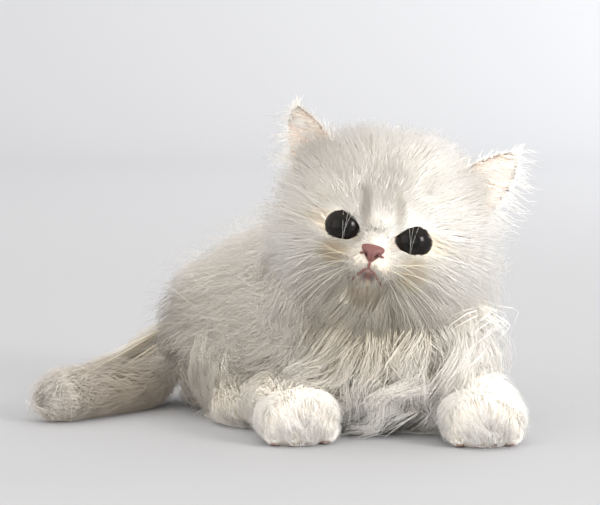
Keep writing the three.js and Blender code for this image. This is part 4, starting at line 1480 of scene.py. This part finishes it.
@dataclass
class Skin:
    """The one skin of the body: all forms at layer 0, fused and smoothed."""

    anatomy: Anatomy
    voxel: float = 1.15
    smoothing: int = 5
    rings: int = 90
    around: int = 96
    flesh: tuple[str, ...] = (
        "head", "lower_jaw", "neck", "chest", "torso", "rump", "foreleg_right", "foreleg_left",
        "forepaw_right", "forepaw_left", "thigh_right", "thigh_left", "hindpaw_right", "hindpaw_left",
        "tail_base", "tail_middle", "tail_tip",
    )

    def forms(self) -> Surface:
        """Closed surface of every form, from rings between its ends."""
        surfaces = []
        angle = full_turn(self.around)[None]
        for name, form in self.anatomy.forms.items():
            if isinstance(form, EarForm):
                continue
            ends = (0.004, 0.996) if isinstance(form, HeadForm) else (-0.97, 1.97)
            share = np.linspace(*ends, self.rings)[:, None]
            surfaces.append(rings_surface(form.point(share, angle, 0.0)))
        return join(surfaces)

    def build(self, placing: Placing, material: Material, sockets: list[Socket]) -> Piece:
        """Fuses the forms by a voxel remesh, smooths them and sinks the eye sockets.

        Args:
            placing: turns millimetres into metres.
            material: finish of the skin.
            sockets: hollows that the eyes sit in.

        Returns:
            The skin.
        """
        rough = self.forms().build("skin_forms", placing, material)
        remesh = rough.modifiers.new("remesh", "REMESH")
        remesh.mode = "VOXEL"
        remesh.voxel_size = placing.length(self.voxel)
        smooth = rough.modifiers.new("smooth", "SMOOTH")
        smooth.factor, smooth.iterations = 0.5, self.smoothing
        evaluated = rough.evaluated_get(bpy.context.evaluated_depsgraph_get())
        mesh = bpy.data.meshes.new_from_object(evaluated)
        mesh.name = "skin"
        bpy.data.objects.remove(rough)
        points = np.zeros(len(mesh.vertices) * 3, np.float32)
        mesh.vertices.foreach_get("co", points)
        points = placing.own(points.reshape(-1, 3).astype(float))
        for socket in sockets:
            points = socket.sink(points)
        mesh.vertices.foreach_set("co", placing.metres(points).astype(np.float32).ravel())
        mesh.polygons.foreach_set("use_smooth", np.ones(len(mesh.polygons), bool))
        mesh.update()
        piece = bpy.data.objects.new("skin", mesh)
        bpy.context.scene.collection.objects.link(piece)
        log.info("skin: %d quads", len(mesh.polygons))
        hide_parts(*self.flesh)
        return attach(piece, "root")


@dataclass
class Socket:
    """Hollow of the skin behind an eye."""

    head: HeadForm
    side: int
    spread: float = 16
    depth: float = 7.4
    ball: float = 9.6
    wide: float = 8.6
    tall: float = 7.2
    gap: float = 0.8

    def sink(self, points: Array) -> Array:
        """Points of the skin, pressed in behind the ball within the oval of the opening."""
        local = self.head.local(points)
        x, y, z = np.moveaxis(local, -1, 0)
        x = x - self.side * self.spread
        oval = (x / self.wide) ** 2 + (y / self.tall) ** 2
        ball = np.sqrt(np.maximum(self.ball**2 - x**2 - y**2, 0)) - self.depth - self.gap
        local[:, 2] = np.where((oval < 1) & (z > -self.depth) & (z > ball), ball, z)
        return self.head.place(local)


@dataclass
class Eye:
    """An eyeball with a raised clear front, and the lids round it."""

    head: HeadForm
    side: int
    spread: float = 16
    depth: float = 7.4
    radius: float = 9.6
    front: float = 0.7
    iris: float = 7.6
    back: float = 1
    opening_across: float = 6.25
    opening_up: float = 4.85
    upper: float = 0.86
    corner: float = 0.8
    corner_drop: float = 1.1
    corner_spread: float = 0.45
    lid_spread: float = 0.5
    lid_thickness: float = 1.6
    rim_height: float = 0.6
    rim_place: float = 0.1
    rim_spread: float = 0.13

    @property
    def name(self) -> str:
        """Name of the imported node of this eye."""
        return "eye_left" if self.side > 0 else "eye_right"

    @property
    def middle(self) -> Array:
        """Middle of the ball, across, up and out of the face."""
        return np.array([self.side * self.spread, 0, -self.depth])

    def cap(self) -> Array:
        """Points all over the front of the ball, for finding its box."""
        polar = np.linspace(0, math.acos(self.back / self.radius), 60)[:, None]
        turn = np.linspace(0, 2 * math.pi, 120)[None]
        return self.head.place(self.middle + self.radius * globe(polar, turn)).reshape(-1, 3)

    def ball(self, placing: Placing, material: Material) -> Piece:
        """The ball: a sphere whose front bulges by a bell curve of the distance from its axis.

        Args:
            placing: turns millimetres into metres.
            material: finish of the eye.

        Returns:
            The eyeball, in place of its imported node.
        """
        rings, around = 64, 96
        polar = np.linspace(0.02, math.pi * 0.62, rings)[:, None]
        turn = full_turn(around)[None]
        out_from_axis = self.radius * np.sin(polar)
        bulge = self.front * np.exp(-((out_from_axis / self.iris) ** 4))
        radius = self.radius + np.where(polar < math.pi / 2, bulge, 0)
        local = self.middle + radius[..., None] * globe(polar, turn)
        surface = rings_surface(self.head.place(local)[:, ::-1])
        ring = np.where(polar < math.pi / 2, out_from_axis / self.iris, 2) + 0 * turn
        turns = np.broadcast_to(turn / (2 * math.pi), (rings, around))[:, ::-1]
        surface.marks = {
            "ring": np.concatenate([ring.ravel(), [0, 2]]),
            "turn": np.concatenate([np.abs(2 * turns.ravel() - 1), [0, 0]]),
        }
        piece = surface.build(self.name + "_ball", placing, material)
        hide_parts(self.name)
        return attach(piece, "root")

    def opening(self, turn: Array, scale: Array) -> tuple[Array, Array]:
        """Edge of the lids: an oval, flatter above, drawn out and down at its inner corner.

        Args:
            turn: angle round the oval, 0 being the inner corner.
            scale: size, where 1 is the edge.

        Returns:
            Distances across, outwards from the nose being plus, and up from the eye's middle.
        """
        wrapped = (turn + math.pi) % (2 * math.pi) - math.pi
        point = np.exp(-((wrapped / self.corner_spread) ** 2))
        across = -(self.opening_across * np.cos(turn) + self.corner * point) * scale
        tall = self.opening_up * np.where(np.sin(turn) > 0, self.upper, 1)
        up = (tall * np.sin(turn) - self.corner_drop * point) * scale
        return across, up

    def lids(self, placing: Placing, material: Material) -> Piece:
        """The lids: a rounded rim at the opening that runs out into the face.

        The way round is the opening's oval. Across it the outer side runs from the ball to the
        face, with a rounded rim by a bell curve, and the inner side returns below it.

        Args:
            placing: turns millimetres into metres.
            material: finish of the lids.

        Returns:
            The lids.
        """
        around, steps = 96, 14
        turn = full_turn(around)[:, None]
        s = np.linspace(0, 1, steps)[None]
        across, up = self.opening(turn, 1 + self.lid_spread * s)
        x = self.side * (self.spread + across)
        on_ball = np.sqrt(np.maximum(self.radius**2 - across**2 - up**2, 1)) - self.depth
        face = self.head.local(self.head.face_point(x, up))[..., 2]
        away = smoothstep(s, 0.1, 0.9)
        out = on_ball * (1 - away) + (face - 0.4) * away
        out = out + self.rim_height * np.exp(-(((s - self.rim_place) / self.rim_spread) ** 2))
        out = out - 0.5 * np.exp(-((s / 0.04) ** 2))
        outer = np.stack([x, up, out], -1)
        inner = outer[:, ::-1] - np.array([0, 0, self.lid_thickness])
        local = np.concatenate([outer, inner], 1)
        if self.side < 0:
            local = local[:, ::-1]
        quads = grid_quads(around, 2 * steps, True, True)
        surface = Surface(self.head.place(local).reshape(-1, 3), quads)
        rim = 1 - smoothstep(np.concatenate([s, s[:, ::-1]], 1), 0.1, 0.34)
        surface.marks = {"rim": np.broadcast_to(rim, (around, 2 * steps)).ravel()}
        piece = surface.build(self.name + "_lids", placing, material)
        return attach(piece, "root")


@dataclass
class Nose:
    """Nose leather: a rounded wedge with two comma-shaped nostrils and a groove below."""

    head: HeadForm
    height: float = -9.2
    front: float = 7.6
    across: float = 4.2
    up: float = 4.1
    depth: float = 3.5
    taper: float = 0.7
    nostril_across: float = 0.58
    nostril_height: float = -0.2
    nostril_depth: float = 1.8
    groove: float = 0.5

    def build(self, placing: Placing, material: Material) -> Piece:
        """Makes the nose: a ball, wider upwards by an exponential and dented by bell curves.

        Args:
            placing: turns millimetres into metres.
            material: finish of the leather.

        Returns:
            The nose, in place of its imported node.
        """
        rings, around = 80, 96
        polar = np.linspace(0.02, math.pi - 0.02, rings)[:, None]
        turn = full_turn(around)[None]
        x, y, z = np.moveaxis(globe(polar, turn), -1, 0)
        flat_x = np.sign(x) * np.abs(x) ** 0.85
        width = self.across * np.exp(self.taper * y)
        nostril = np.exp(
            -(((np.abs(x) - self.nostril_across - 0.14 * y) / 0.16) ** 2)
            - ((y - self.nostril_height) / 0.27) ** 2
        )
        slit = np.exp(-(((np.abs(x) - 0.76) / 0.22) ** 2) - ((y - self.nostril_height) / 0.13) ** 2)
        middle = np.exp(-((x / 0.1) ** 2)) * smoothstep(-y, -0.25, 0.35)
        dent = np.where(z > 0, self.nostril_depth * np.maximum(nostril, 0.8 * slit) + self.groove * middle, 0)
        ahead = self.front + self.depth * z - dent
        local = np.stack([width * flat_x, self.height + self.up * y, ahead], -1)
        surface = rings_surface(self.head.place(local)[:, ::-1])
        # The rim mark turns the leather nearly black in the nostrils' dents and slits: painted shade in their
        # openings.
        rim = np.where(z > 0, np.maximum(nostril, slit), 0)[:, ::-1]
        surface.marks = {"rim": np.concatenate([rim.ravel(), [0, 0]])}
        piece = surface.build("nose_leather", placing, material)
        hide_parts("nose")
        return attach(piece, "root")


@dataclass
class Mouth:
    """The groove below the nose and the line of the mouth, as slim lips."""

    head: HeadForm
    top: float = -11.5
    apex: float = -16.2
    corner_across: float = 7.2
    corner_height: float = -23.4
    slit: float = -9.4
    thickness: float = 0.6

    def corner(self, share: Array) -> tuple[Array, Array]:
        """Places across and up the face on the way from the middle to a corner of the mouth."""
        return (
            self.corner_across * share**0.85,
            self.apex + (self.corner_height - self.apex) * share**1.25,
        )

    def build(self, placing: Placing, material: Material) -> Piece:
        """Makes bars on the face: the groove, the slits of the nostrils and the mouth's line.

        Each is a round bar that thins to its ends by a sine, and lies on a parabola.

        Args:
            placing: turns millimetres into metres.
            material: finish of the lips.

        Returns:
            The lips.
        """
        t = np.linspace(0, 1, 24)
        across, height = self.corner(t)
        lines = [(0 * t, self.top + (self.apex - self.top) * t)]
        lines += [(side * (3.0 + 2.6 * t), self.slit - 0.6 * t) for side in (-1, 1)]
        lines += [(side * across, height) for side in (-1, 1)]
        surfaces = []
        for across, height in lines:
            path = self.head.face_point(across, height, 0.3)
            heading = unit(np.gradient(path, axis=0))
            out = np.broadcast_to(self.head.axes[2], path.shape)
            side = unit(np.cross(heading, out))
            up = np.cross(side, heading)
            radius = self.thickness * (0.25 + 0.75 * np.sin(math.pi * np.clip(t, 0.04, 0.96)) ** 0.5)
            turn = full_turn(12)
            rings = (
                path[:, None]
                + side[:, None] * (radius[:, None] * np.cos(turn))[..., None]
                - up[:, None] * (radius[:, None] * np.sin(turn))[..., None]
            )
            surfaces.append(rings_surface(rings))
        piece = join(surfaces).build("lips", placing, material)
        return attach(piece, "root")


@dataclass
class Ear:
    """Shell of an ear: the cup in front and its back, joined at the edges."""

    anatomy: Anatomy
    side: str

    def build(self, placing: Placing, material: Material) -> Piece:
        """Makes the shell, closed round its edge, root and tip.

        Args:
            placing: turns millimetres into metres.
            material: finish of the skin of the ear.

        Returns:
            The ear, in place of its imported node.
        """
        rows, columns = 60, 48
        share = np.linspace(0.0, 0.995, rows)[:, None]
        angle = np.linspace(-math.pi / 2, math.pi / 2, columns)[None]
        cup = self.anatomy.forms[f"ear_{self.side}_cup"].point(share, angle, 0.0)
        back = self.anatomy.forms[f"ear_{self.side}_back"].point(share, angle[:, ::-1], 0.0)
        surface = rings_surface(np.concatenate([cup, back], 1))
        inner = np.concatenate([np.cos(angle) ** 0.5 + 0 * share, 0 * share * angle], 1)
        surface.marks = {"rim": np.concatenate([inner.ravel(), [0, 0]])}
        piece = surface.build(f"ear_{self.side}_skin", placing, material)
        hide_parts(f"ear_{self.side}")
        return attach(piece, "root")


@dataclass
class Whiskers:
    """Whiskers, and the long brow hairs: thin bars that fan from the face and bend down."""

    head: HeadForm
    rng: np.random.Generator
    rows: int = 4
    in_row: int = 4
    length: float = 44
    width: float = 0.17
    brow: int = 4
    cross: int = 3
    steps: int = 10

    def fan(self, side: int) -> Strands:
        """Whiskers and brow hairs of one side.

        They start in rows on the pad beside the nose, and over the eye, where a few short ones
        cross it. Each runs out along its own direction and sags by the square of the share
        along it.

        Args:
            side: -1 for the kitten's right, 1 for its left.

        Returns:
            The hairs.
        """
        row, place = (a.ravel() for a in np.mgrid[0 : self.rows, 0 : self.in_row])
        across = side * (6.5 + 2.2 * place + 0.6 * row)
        height = -12.5 - 2.1 * row - 0.3 * place
        lift = 0.25 - 0.35 * row + 0.1 * place
        length = self.length * (0.55 + 0.12 * place + 0.2 * self.rng.random(row.size))
        brow, cross = self.brow, self.cross
        across = np.concatenate([across, side * (13 + 2.0 * np.arange(brow))])
        height = np.concatenate([height, 12.5 + 1.5 * self.rng.random(brow)])
        lift = np.concatenate([lift, np.full(brow, 1.2)])
        length = np.concatenate([length, 22 + 8 * self.rng.random(brow), 12 + 3 * self.rng.random(cross)])
        across = np.concatenate([across, side * (12.5 + 2.6 * np.arange(cross))])
        height = np.concatenate([height, 7 + 1.5 * self.rng.random(cross)])
        root = self.head.face_point(across, height)
        count = len(length)
        outwards = np.stack(
            [np.full(count - cross, side), lift, 0.15 + 0.2 * self.rng.random(count - cross)], -1
        )
        splay = side * (0.35 - 0.3 * np.arange(cross))
        down = np.stack([splay, np.full(cross, -1), np.full(cross, 0.75)], -1)
        outwards = np.concatenate([outwards, down])
        heading = unit(outwards + 0.15 * (self.rng.random((count, 3)) - 0.5)) @ self.head.axes
        t = np.linspace(0, 1, self.steps + 1)
        sag = np.array([0, 0.1, -0.6])
        path = root[:, None] + (length[:, None] * t)[..., None] * heading[:, None]
        path += (length[:, None] * t**2)[..., None] * sag
        out = np.broadcast_to(self.head.axes[2], path.shape)
        number = np.arange(count)
        uv = np.stack([number / count * 0.45 + (0.5 if side > 0 else 0.0), np.full(count, 0.5)], -1)
        width = np.where(number < count - cross, self.width, 0.6 * self.width)
        return Strands(path, out, width, np.ones(count), uv)

    def build(self, placing: Placing, material: Material) -> Piece:
        """Makes both fans as one mesh."""
        piece = join([self.fan(side).surface() for side in (-1, 1)]).build("whiskers", placing, material)
        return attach(piece, "root")


@dataclass
class Toes:
    """Rounded toe pads that show under the front of the forepaws."""

    anatomy: Anatomy
    count: int = 4
    spread: float = 11.5
    ahead: float = 3.6
    set_back: float = 3.5
    size: Vector = (3.4, 2.4, 1.0)
    clear: float = 0.2

    def build(self, placing: Placing, material: Material) -> Piece:
        """Makes the pads: balls scaled flat, in an arc across the tip of each paw."""
        polar = np.linspace(0.05, math.pi - 0.05, 16)[:, None]
        turn = full_turn(20)[None]
        ball = globe(polar, turn)
        long, wide, tall = self.size
        surfaces = []
        for name in ("forepaw_right", "forepaw_left"):
            end, ahead, across = self.anatomy.paw_end(self.anatomy.forms[name])
            for place in np.linspace(-1, 1, self.count):
                at = end + across * self.spread * place + ahead * (self.ahead - self.set_back * abs(place))
                at[2] = tall + self.clear
                pad = at + ball[..., :1] * long * ahead + ball[..., 1:2] * wide * across
                surfaces.append(rings_surface((pad + ball[..., 2:] * [0, 0, tall])[::-1]))
        piece = join(surfaces).build("toe_pads", placing, material)
        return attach(piece, "root")


@dataclass(frozen=True)
class Lamp:
    """A square soft light: its place, size, power, colour and what it is turned to.

    Without a goal it is turned to the kitten.
    """

    name: str
    at: Vector
    size: float
    watts: float
    colour: Colour
    goal: Vector | None = None


@dataclass
class Studio:
    """Pale floor that curves up behind, soft lights and the camera."""

    lamps: tuple[Lamp, ...] = (
        Lamp("key", (1180, -1020, 560), 620, 13.3, (1.0, 0.995, 0.985)),
        Lamp("window", (1180, -1020, 590), 130, 3.0, (1.0, 1.0, 1.0)),
        Lamp("fill", (-1200, -900, 450), 1200, 4, (1.0, 0.985, 0.96)),
        Lamp("front", (-60, -1500, 150), 700, 2.2, (1.0, 0.985, 0.95)),
        Lamp("wall", (2400, 1400, 1250), 1900, 78, (0.97, 0.985, 1.0), (1450, 3300, 600)),
    )
    surround: Colour = (1.0, 0.965, 0.92)
    surround_strength: float = 1.08
    target: Vector = (-35, 0, 87.5)
    distance: float = 1000
    elevation: float = 5.5
    focal: float = 2222
    frame_width: float = 600
    sensor: float = 36
    floor_half: float = 3800
    wall_from: float = 2300
    bend: float = 900
    wall_height: float = 2600

    def backdrop(self, placing: Placing, material: Material) -> None:
        """Floor and wall in one sheet: flat, then a quarter circle, then upright."""
        flat = np.linspace(-self.floor_half, self.wall_from, 8)
        arc = np.linspace(0, math.pi / 2, 24)[1:]
        wall = self.wall_from + self.bend
        depth = np.concatenate([flat, self.wall_from + self.bend * np.sin(arc), [wall]])
        height = np.concatenate([0 * flat, self.bend * (1 - np.cos(arc)), [self.wall_height]])
        across = np.linspace(-self.floor_half, self.floor_half, 12)
        grid = np.stack(np.broadcast_arrays(across[None], depth[:, None], height[:, None]), -1)
        surface = Surface(grid.reshape(-1, 3), grid_quads(*grid.shape[:2], False))
        piece = surface.build("backdrop", placing, material)

    def light(self, lamp: Lamp, placing: Placing) -> None:
        """Adds a light."""
        data = bpy.data.lights.new(lamp.name, "AREA")
        data.shape, data.size = "SQUARE", placing.length(lamp.size)
        data.energy, data.color = lamp.watts, lamp.colour
        piece = bpy.data.objects.new(lamp.name, data)
        place = placing.metres(np.array(lamp.at, float))
        piece.location = place
        self.face(piece, placing.metres(np.array(lamp.goal or self.target, float)) - place)
        bpy.context.scene.collection.objects.link(piece)

    @staticmethod
    def face(thing: Piece, direction: Array) -> None:
        """Turns an object so that it looks along a direction, with its top up."""
        flat = math.hypot(direction[0], direction[1])
        thing.rotation_euler = (
            math.pi / 2 + math.atan2(direction[2], flat),
            0,
            math.atan2(-direction[0], direction[1]),
        )

    def camera(self, placing: Placing) -> None:
        """Adds the camera, straight in front of its target and raised by its elevation."""
        data = bpy.data.cameras.new("camera")
        data.sensor_width = self.sensor
        data.lens = self.focal / self.frame_width * self.sensor
        data.clip_end = 20
        camera = bpy.data.objects.new("camera", data)
        rise = math.radians(self.elevation)
        away = np.array([0, -math.cos(rise), math.sin(rise)]) * self.distance
        camera.location = placing.metres(np.array(self.target) + away)
        self.face(camera, -away)
        bpy.context.scene.collection.objects.link(camera)
        bpy.context.scene.camera = camera

    def world(self) -> None:
        """Plain light from all round."""
        world = bpy.data.worlds.new("world")
        world.use_nodes = True
        background = world.node_tree.nodes["Background"]
        background.inputs["Color"].default_value = opaque(self.surround)
        background.inputs["Strength"].default_value = self.surround_strength
        bpy.context.scene.world = world

    def build(self, placing: Placing, material: Material) -> None:
        """Sets the stage, lights and camera."""
        self.backdrop(placing, material)
        for lamp in self.lamps:
            self.light(lamp, placing)
        self.world()
        self.camera(placing)
        bpy.context.scene.view_settings.view_transform = "Standard"


def layers(
    forms: tuple[str, ...], shares: Pair, hairs: tuple[Hair, ...], angles: Pair = (0, 360)
) -> tuple[Patch, ...]:
    """Patches of several kinds of hair over the same range of each form."""
    return tuple(Patch(form, shares, hair, angles) for form in forms for hair in hairs)


def coats() -> list[Coat]:
    """Pieces of the coat: wide soft tufts below, fine hair over them and a few loose hairs."""
    down = (0, 0, -0.7)
    face = Hair(
        density=4.6, steps=2, width=0.22, length=5, stretch=1.5, reach=(0.6, 1.1), rise=0.9,
        comb=(0, 0, -0.15), stray=0.1, sway=0.15, tuft=(2.5, 0.25), lock=(8.0, 0.1), soft=0.92,
    )
    face_felt = replace(face, density=0.6, width=1.1, reach=(0.3, 0.7), tuft=(2.5, 0.0), ridge=0.25)
    muzzle = replace(face, density=7.0, width=0.2, length=2.2, stretch=0.5, reach=(0.3, 0.7))
    crown = Hair(
        density=1.7, width=0.25, length=14, stretch=0.9, reach=(0.75, 1.35), rise=0.65,
        comb=(0, 0, -0.3), stray=0.12, sway=0.3, tuft=(3.6, 0.25), lock=(12.0, 0.15), soft=0.92,
    )
    crown_felt = replace(crown, density=0.18, width=2.0, reach=(0.45, 0.95), tuft=(3.6, 0.0), ridge=0.2)
    cheek = replace(crown, length=16, reach=(0.8, 1.45), comb=(0, 0, -0.5), rise=0.6)
    cheek_felt = replace(crown_felt, length=16, reach=(0.55, 1.1), comb=(0, 0, -0.5), rise=0.6)
    beard = replace(
        cheek, density=0.9, steps=5, length=13, reach=(0.9, 1.9), comb=(-0.2, 0, -0.7), rise=0.9,
        tuft=(4.0, 0.5), lock=(10.0, 0.6), curl=(3.0, 0.9), soft=0.8,
    )
    ruff = Hair(
        density=1.0, width=0.32, length=6, stretch=1.4, stray=0.12, sway=0.3,
        reach=(0.75, 1.2), rise=0.65, tuft=(4.5, 0.3), lock=(14.0, 0.25), soft=0.9,
    )
    ruff_felt = replace(ruff, density=0.2, width=2.6, reach=(0.4, 0.75), tuft=(4.5, 0.0), ridge=0.2)
    bib = Hair(
        density=0.52, steps=6, width=0.38, length=13, stretch=1.4, reach=(0.5, 1.5), rise=0.75,
        stray=0.03, sway=0.7, tuft=(3.0, 0.4), lock=(13.0, 0.88), curl=(7.5, 0.9),
        comb=(-0.35, 0, 0), soft=0.85,
    )
    bib_locks = replace(bib, density=0.33, width=1.0, reach=(0.55, 1.0), tuft=(3.0, 0.15), ridge=0.4)
    bib_felt = replace(ruff_felt, reach=(0.25, 0.6), soft=0.85)
    swept, swept_locks = (replace(hair, comb=(-0.9, 0, -0.2), length=7) for hair in (bib, bib_locks))
    calm, calm_locks = (replace(hair, length=7, reach=(0.4, 0.9)) for hair in (bib, bib_locks))
    flank = Hair(
        density=0.54, width=0.36, length=7, stretch=1.5, comb=down, stray=0.12, sway=0.3,
        reach=(0.6, 1.1), tuft=(4.5, 0.3), lock=(16.0, 0.25), soft=0.9,
    )
    flank_felt = replace(flank, density=0.14, width=2.8, reach=(0.4, 0.75), tuft=(4.5, 0.0), ridge=0.2)
    leg = Hair(
        density=0.6, width=0.34, length=7, stretch=1.5, comb=down, stray=0.12, sway=0.3,
        reach=(0.7, 1.3), tuft=(3.5, 0.3), lock=(10.0, 0.2), soft=0.85,
    )
    leg_felt = replace(leg, density=0.2, width=2.0, reach=(0.35, 0.75), tuft=(3.5, 0.0), ridge=0.2)
    paw = Hair(
        density=1.9, steps=2, width=0.26, length=8, stretch=1.5, reach=(0.8, 2.6), rise=0.85,
        comb=(0, 0, -1.5), stray=0.12, sway=0.25, tuft=(2.6, 0.15), lock=(8.0, 0.15), soft=0.85,
    )
    paw_felt = replace(paw, density=0.4, width=0.9, reach=(0.5, 1.2), tuft=(2.6, 0.1), ridge=0.3)
    toe = replace(
        paw, density=2.2, length=2.5, stretch=0.5, reach=(0.5, 1.3), comb=(0, 0, -0.3),
        tuft=(2.6, 0.0), soft=0.9,
    )
    brush = Hair(
        density=1.4, width=0.32, length=12, stretch=1.3, reach=(0.65, 1.3), rise=0.7,
        comb=(0, 0, -0.15), stray=0.22, sway=0.35, tuft=(3.5, 0.35), lock=(9.0, 0.25), soft=0.8,
    )
    brush_felt = replace(brush, density=0.35, width=1.4, reach=(0.45, 0.85), tuft=(3.5, 0.1), ridge=0.3)
    cup = Hair(
        density=0.6, width=0.26, length=9, stretch=0.5, reach=(0.12, 0.6), rise=0.8,
        stray=0.08, sway=0.2, tuft=(3.6, 0.7), lock=(7.0, 0.2), soft=0.6,
    )
    back = Hair(
        density=2.2, steps=2, width=0.26, length=5, stretch=0.4, reach=(0.15, 0.5), rise=0.9,
        stray=0.15, sway=0.2, tuft=(2.5, 0.2), lock=(7.0, 0.2), soft=0.1,
    )
    loose = Hair(
        density=0.14, width=0.14, length=12, stretch=1.4, reach=(1.0, 1.6), rise=0.7,
        comb=(0, 0, -0.3), stray=0.3, sway=0.5, tuft=(4.0, 0.0), lock=(12.0, 0.0),
    )
    sides = {"right": -1, "left": 1}
    whole, open_end = (-1.0, 2.0), (-1.0, 1.0)
    legs = tuple(f"foreleg_{side}" for side in sides)
    thighs = tuple(f"thigh_{side}" for side in sides)
    forepaws = tuple(f"forepaw_{side}" for side in sides)
    hindpaws = tuple(f"hindpaw_{side}" for side in sides)
    toes = tuple(f"toe_{side}_{number}" for side in sides for number in range(4))
    ears: tuple[Patch, ...] = ()
    for name, side in sides.items():
        inner = replace(cup, lean=1.0 * side)
        ears += layers((f"ear_{name}_cup",), (0.02, 0.99), (inner,), (-90, 90))
        ears += layers((f"ear_{name}_back",), (0.02, 0.99), (back,), (-90, 90))
        for edge in (-1, 1):
            fringe = replace(cup, density=2.6, width=0.16, length=2, stretch=0.1, lean=0.8 * edge)
            span = (66, 90) if edge > 0 else (-90, -66)
            ears += layers((f"ear_{name}_cup",), (0.02, 0.99), (fringe,), span)
    return [
        Coat(
            "coat_face",
            layers(("head",), (0.01, 0.12), (muzzle,))
            + layers(("head",), (0.05, 0.42), (face_felt, face)),
        ),
        Coat("coat_crown", layers(("head",), (0.35, 1.0), (crown_felt, crown, loose), (10, 170))),
        Coat(
            "coat_cheeks",
            layers(("head",), (0.35, 1.0), (cheek_felt, cheek, loose), (170, 370))
            + layers(("head",), (0.24, 0.5), (beard,), (225, 315)),
        ),
        Coat("coat_ruff", layers(("neck",), whole, (ruff_felt, ruff, loose))),
        Coat(
            "coat_chest",
            layers(("chest",), whole, (bib_felt, bib_locks, bib), (75, 285))
            + layers(("chest",), whole, (bib_felt, calm_locks, calm), (285, 360))
            + layers(("chest",), whole, (bib_felt, swept_locks, swept), (0, 75)),
        ),
        Coat("coat_torso", layers(("trunk",), (-1.0, 0.56), (flank_felt, flank, loose))),
        Coat("coat_rump", layers(("trunk",), (0.54, 2.0), (flank_felt, flank, loose))),
        Coat("coat_legs", layers(legs, open_end, (leg_felt, leg)) + layers(thighs, whole, (leg_felt, leg))),
        Coat(
            "coat_paws",
            layers(forepaws, (0.0, 2.0), (paw_felt, paw))
            + layers(hindpaws, whole, (paw_felt, paw))
            + layers(toes, whole, (toe,)),
        ),
        Coat("coat_tail", layers(("tail",), whole, (brush_felt, brush, loose))),
        Coat("coat_ears", ears),
    ]


def bare_places(head: HeadForm, mouth: Mouth) -> list[Bare]:
    """What hair keeps off: eyes, nose, the groove below it, the lip and the mouth's line."""
    eyes = [Bare(head, side * 16.2, -0.2, 7.3, 5.8) for side in (-1, 1)]
    nose, groove = Bare(head, 0, -9.7, 4.2, 3.3, 0), Bare(head, 0, -14.5, 0.8, 3.5, 0)
    places = [*eyes, nose, groove, Bare(head, 0, -18.4, 2.0, 1.8, 0)]
    for share in (0.25, 0.5, 0.75, 0.95):
        across, height = mouth.corner(share)
        places += [Bare(head, side * across, height, 1.0, 1.0, 0) for side in (-1, 1)]
    return places


def main() -> None:
    """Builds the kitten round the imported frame, and keeps the sizes of both."""
    logging.basicConfig(level=logging.INFO, format="%(message)s")
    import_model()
    rng = np.random.default_rng(SEED)
    anatomy = Anatomy()
    head = anatomy.head
    eyes = [Eye(head, side) for side in (-1, 1)]
    cap = eyes[0].cap()
    low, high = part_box(eyes[0].name)
    packed_middle = (np.array(low) + np.array(high)) / 2 * MILLIMETRES
    placing = Placing(packed_middle - (cap.min(0) + cap.max(0)) / 2)

    palette = Palette(Markings().group(head, placing), mottle_group())
    coat = CoatFinish().material(palette)
    skin = SkinFinish("skin", (0.90, 0.84, 0.77)).material(palette)
    lid = SkinFinish("lids", (0.62, 0.50, 0.42), rim=(0.02, 0.014, 0.012), roughness=0.35, marked_and_shaded=False)
    # The leather's rim colour is painted shade in the nostrils.
    leather = SkinFinish(
        "nose_leather", (0.22, 0.085, 0.078), rim=(0.05, 0.016, 0.016), roughness=0.42, scale=2500,
        mottle=0.35, bump=0.4, marked_and_shaded=False, coat=0.2,
    )
    lips = SkinFinish("lips", (0.24, 0.10, 0.09), roughness=0.45, scale=1500, marked_and_shaded=False)
    pads = SkinFinish("pads", (0.36, 0.22, 0.18), roughness=0.6, scale=1500, marked_and_shaded=False)
    ear = SkinFinish("ear_skin", (0.70, 0.62, 0.575), rim=(0.80, 0.66, 0.58), roughness=0.55)

    sockets = [Socket(head, side) for side in (-1, 1)]
    Skin(anatomy).build(placing, skin, sockets)
    eye_material, lid_material = EyeFinish().material(), lid.material(palette)
    for eye in eyes:
        eye.ball(placing, eye_material)
        eye.lids(placing, lid_material)
    Nose(head).build(placing, leather.material(palette))
    mouth = Mouth(head)
    mouth.build(placing, lips.material(palette))
    Toes(anatomy).build(placing, pads.material(palette))
    ear_material = ear.material(palette)
    for side in ("right", "left"):
        Ear(anatomy, side).build(placing, ear_material)

    groomer = Groomer(anatomy, bare_places(head, mouth), rng)
    for piece in coats():
        piece.build(groomer, placing, coat)
    Whiskers(head, rng).build(placing, coat)

    Studio().build(placing, StageFinish().material())


if __name__ == "__main__":
    main()
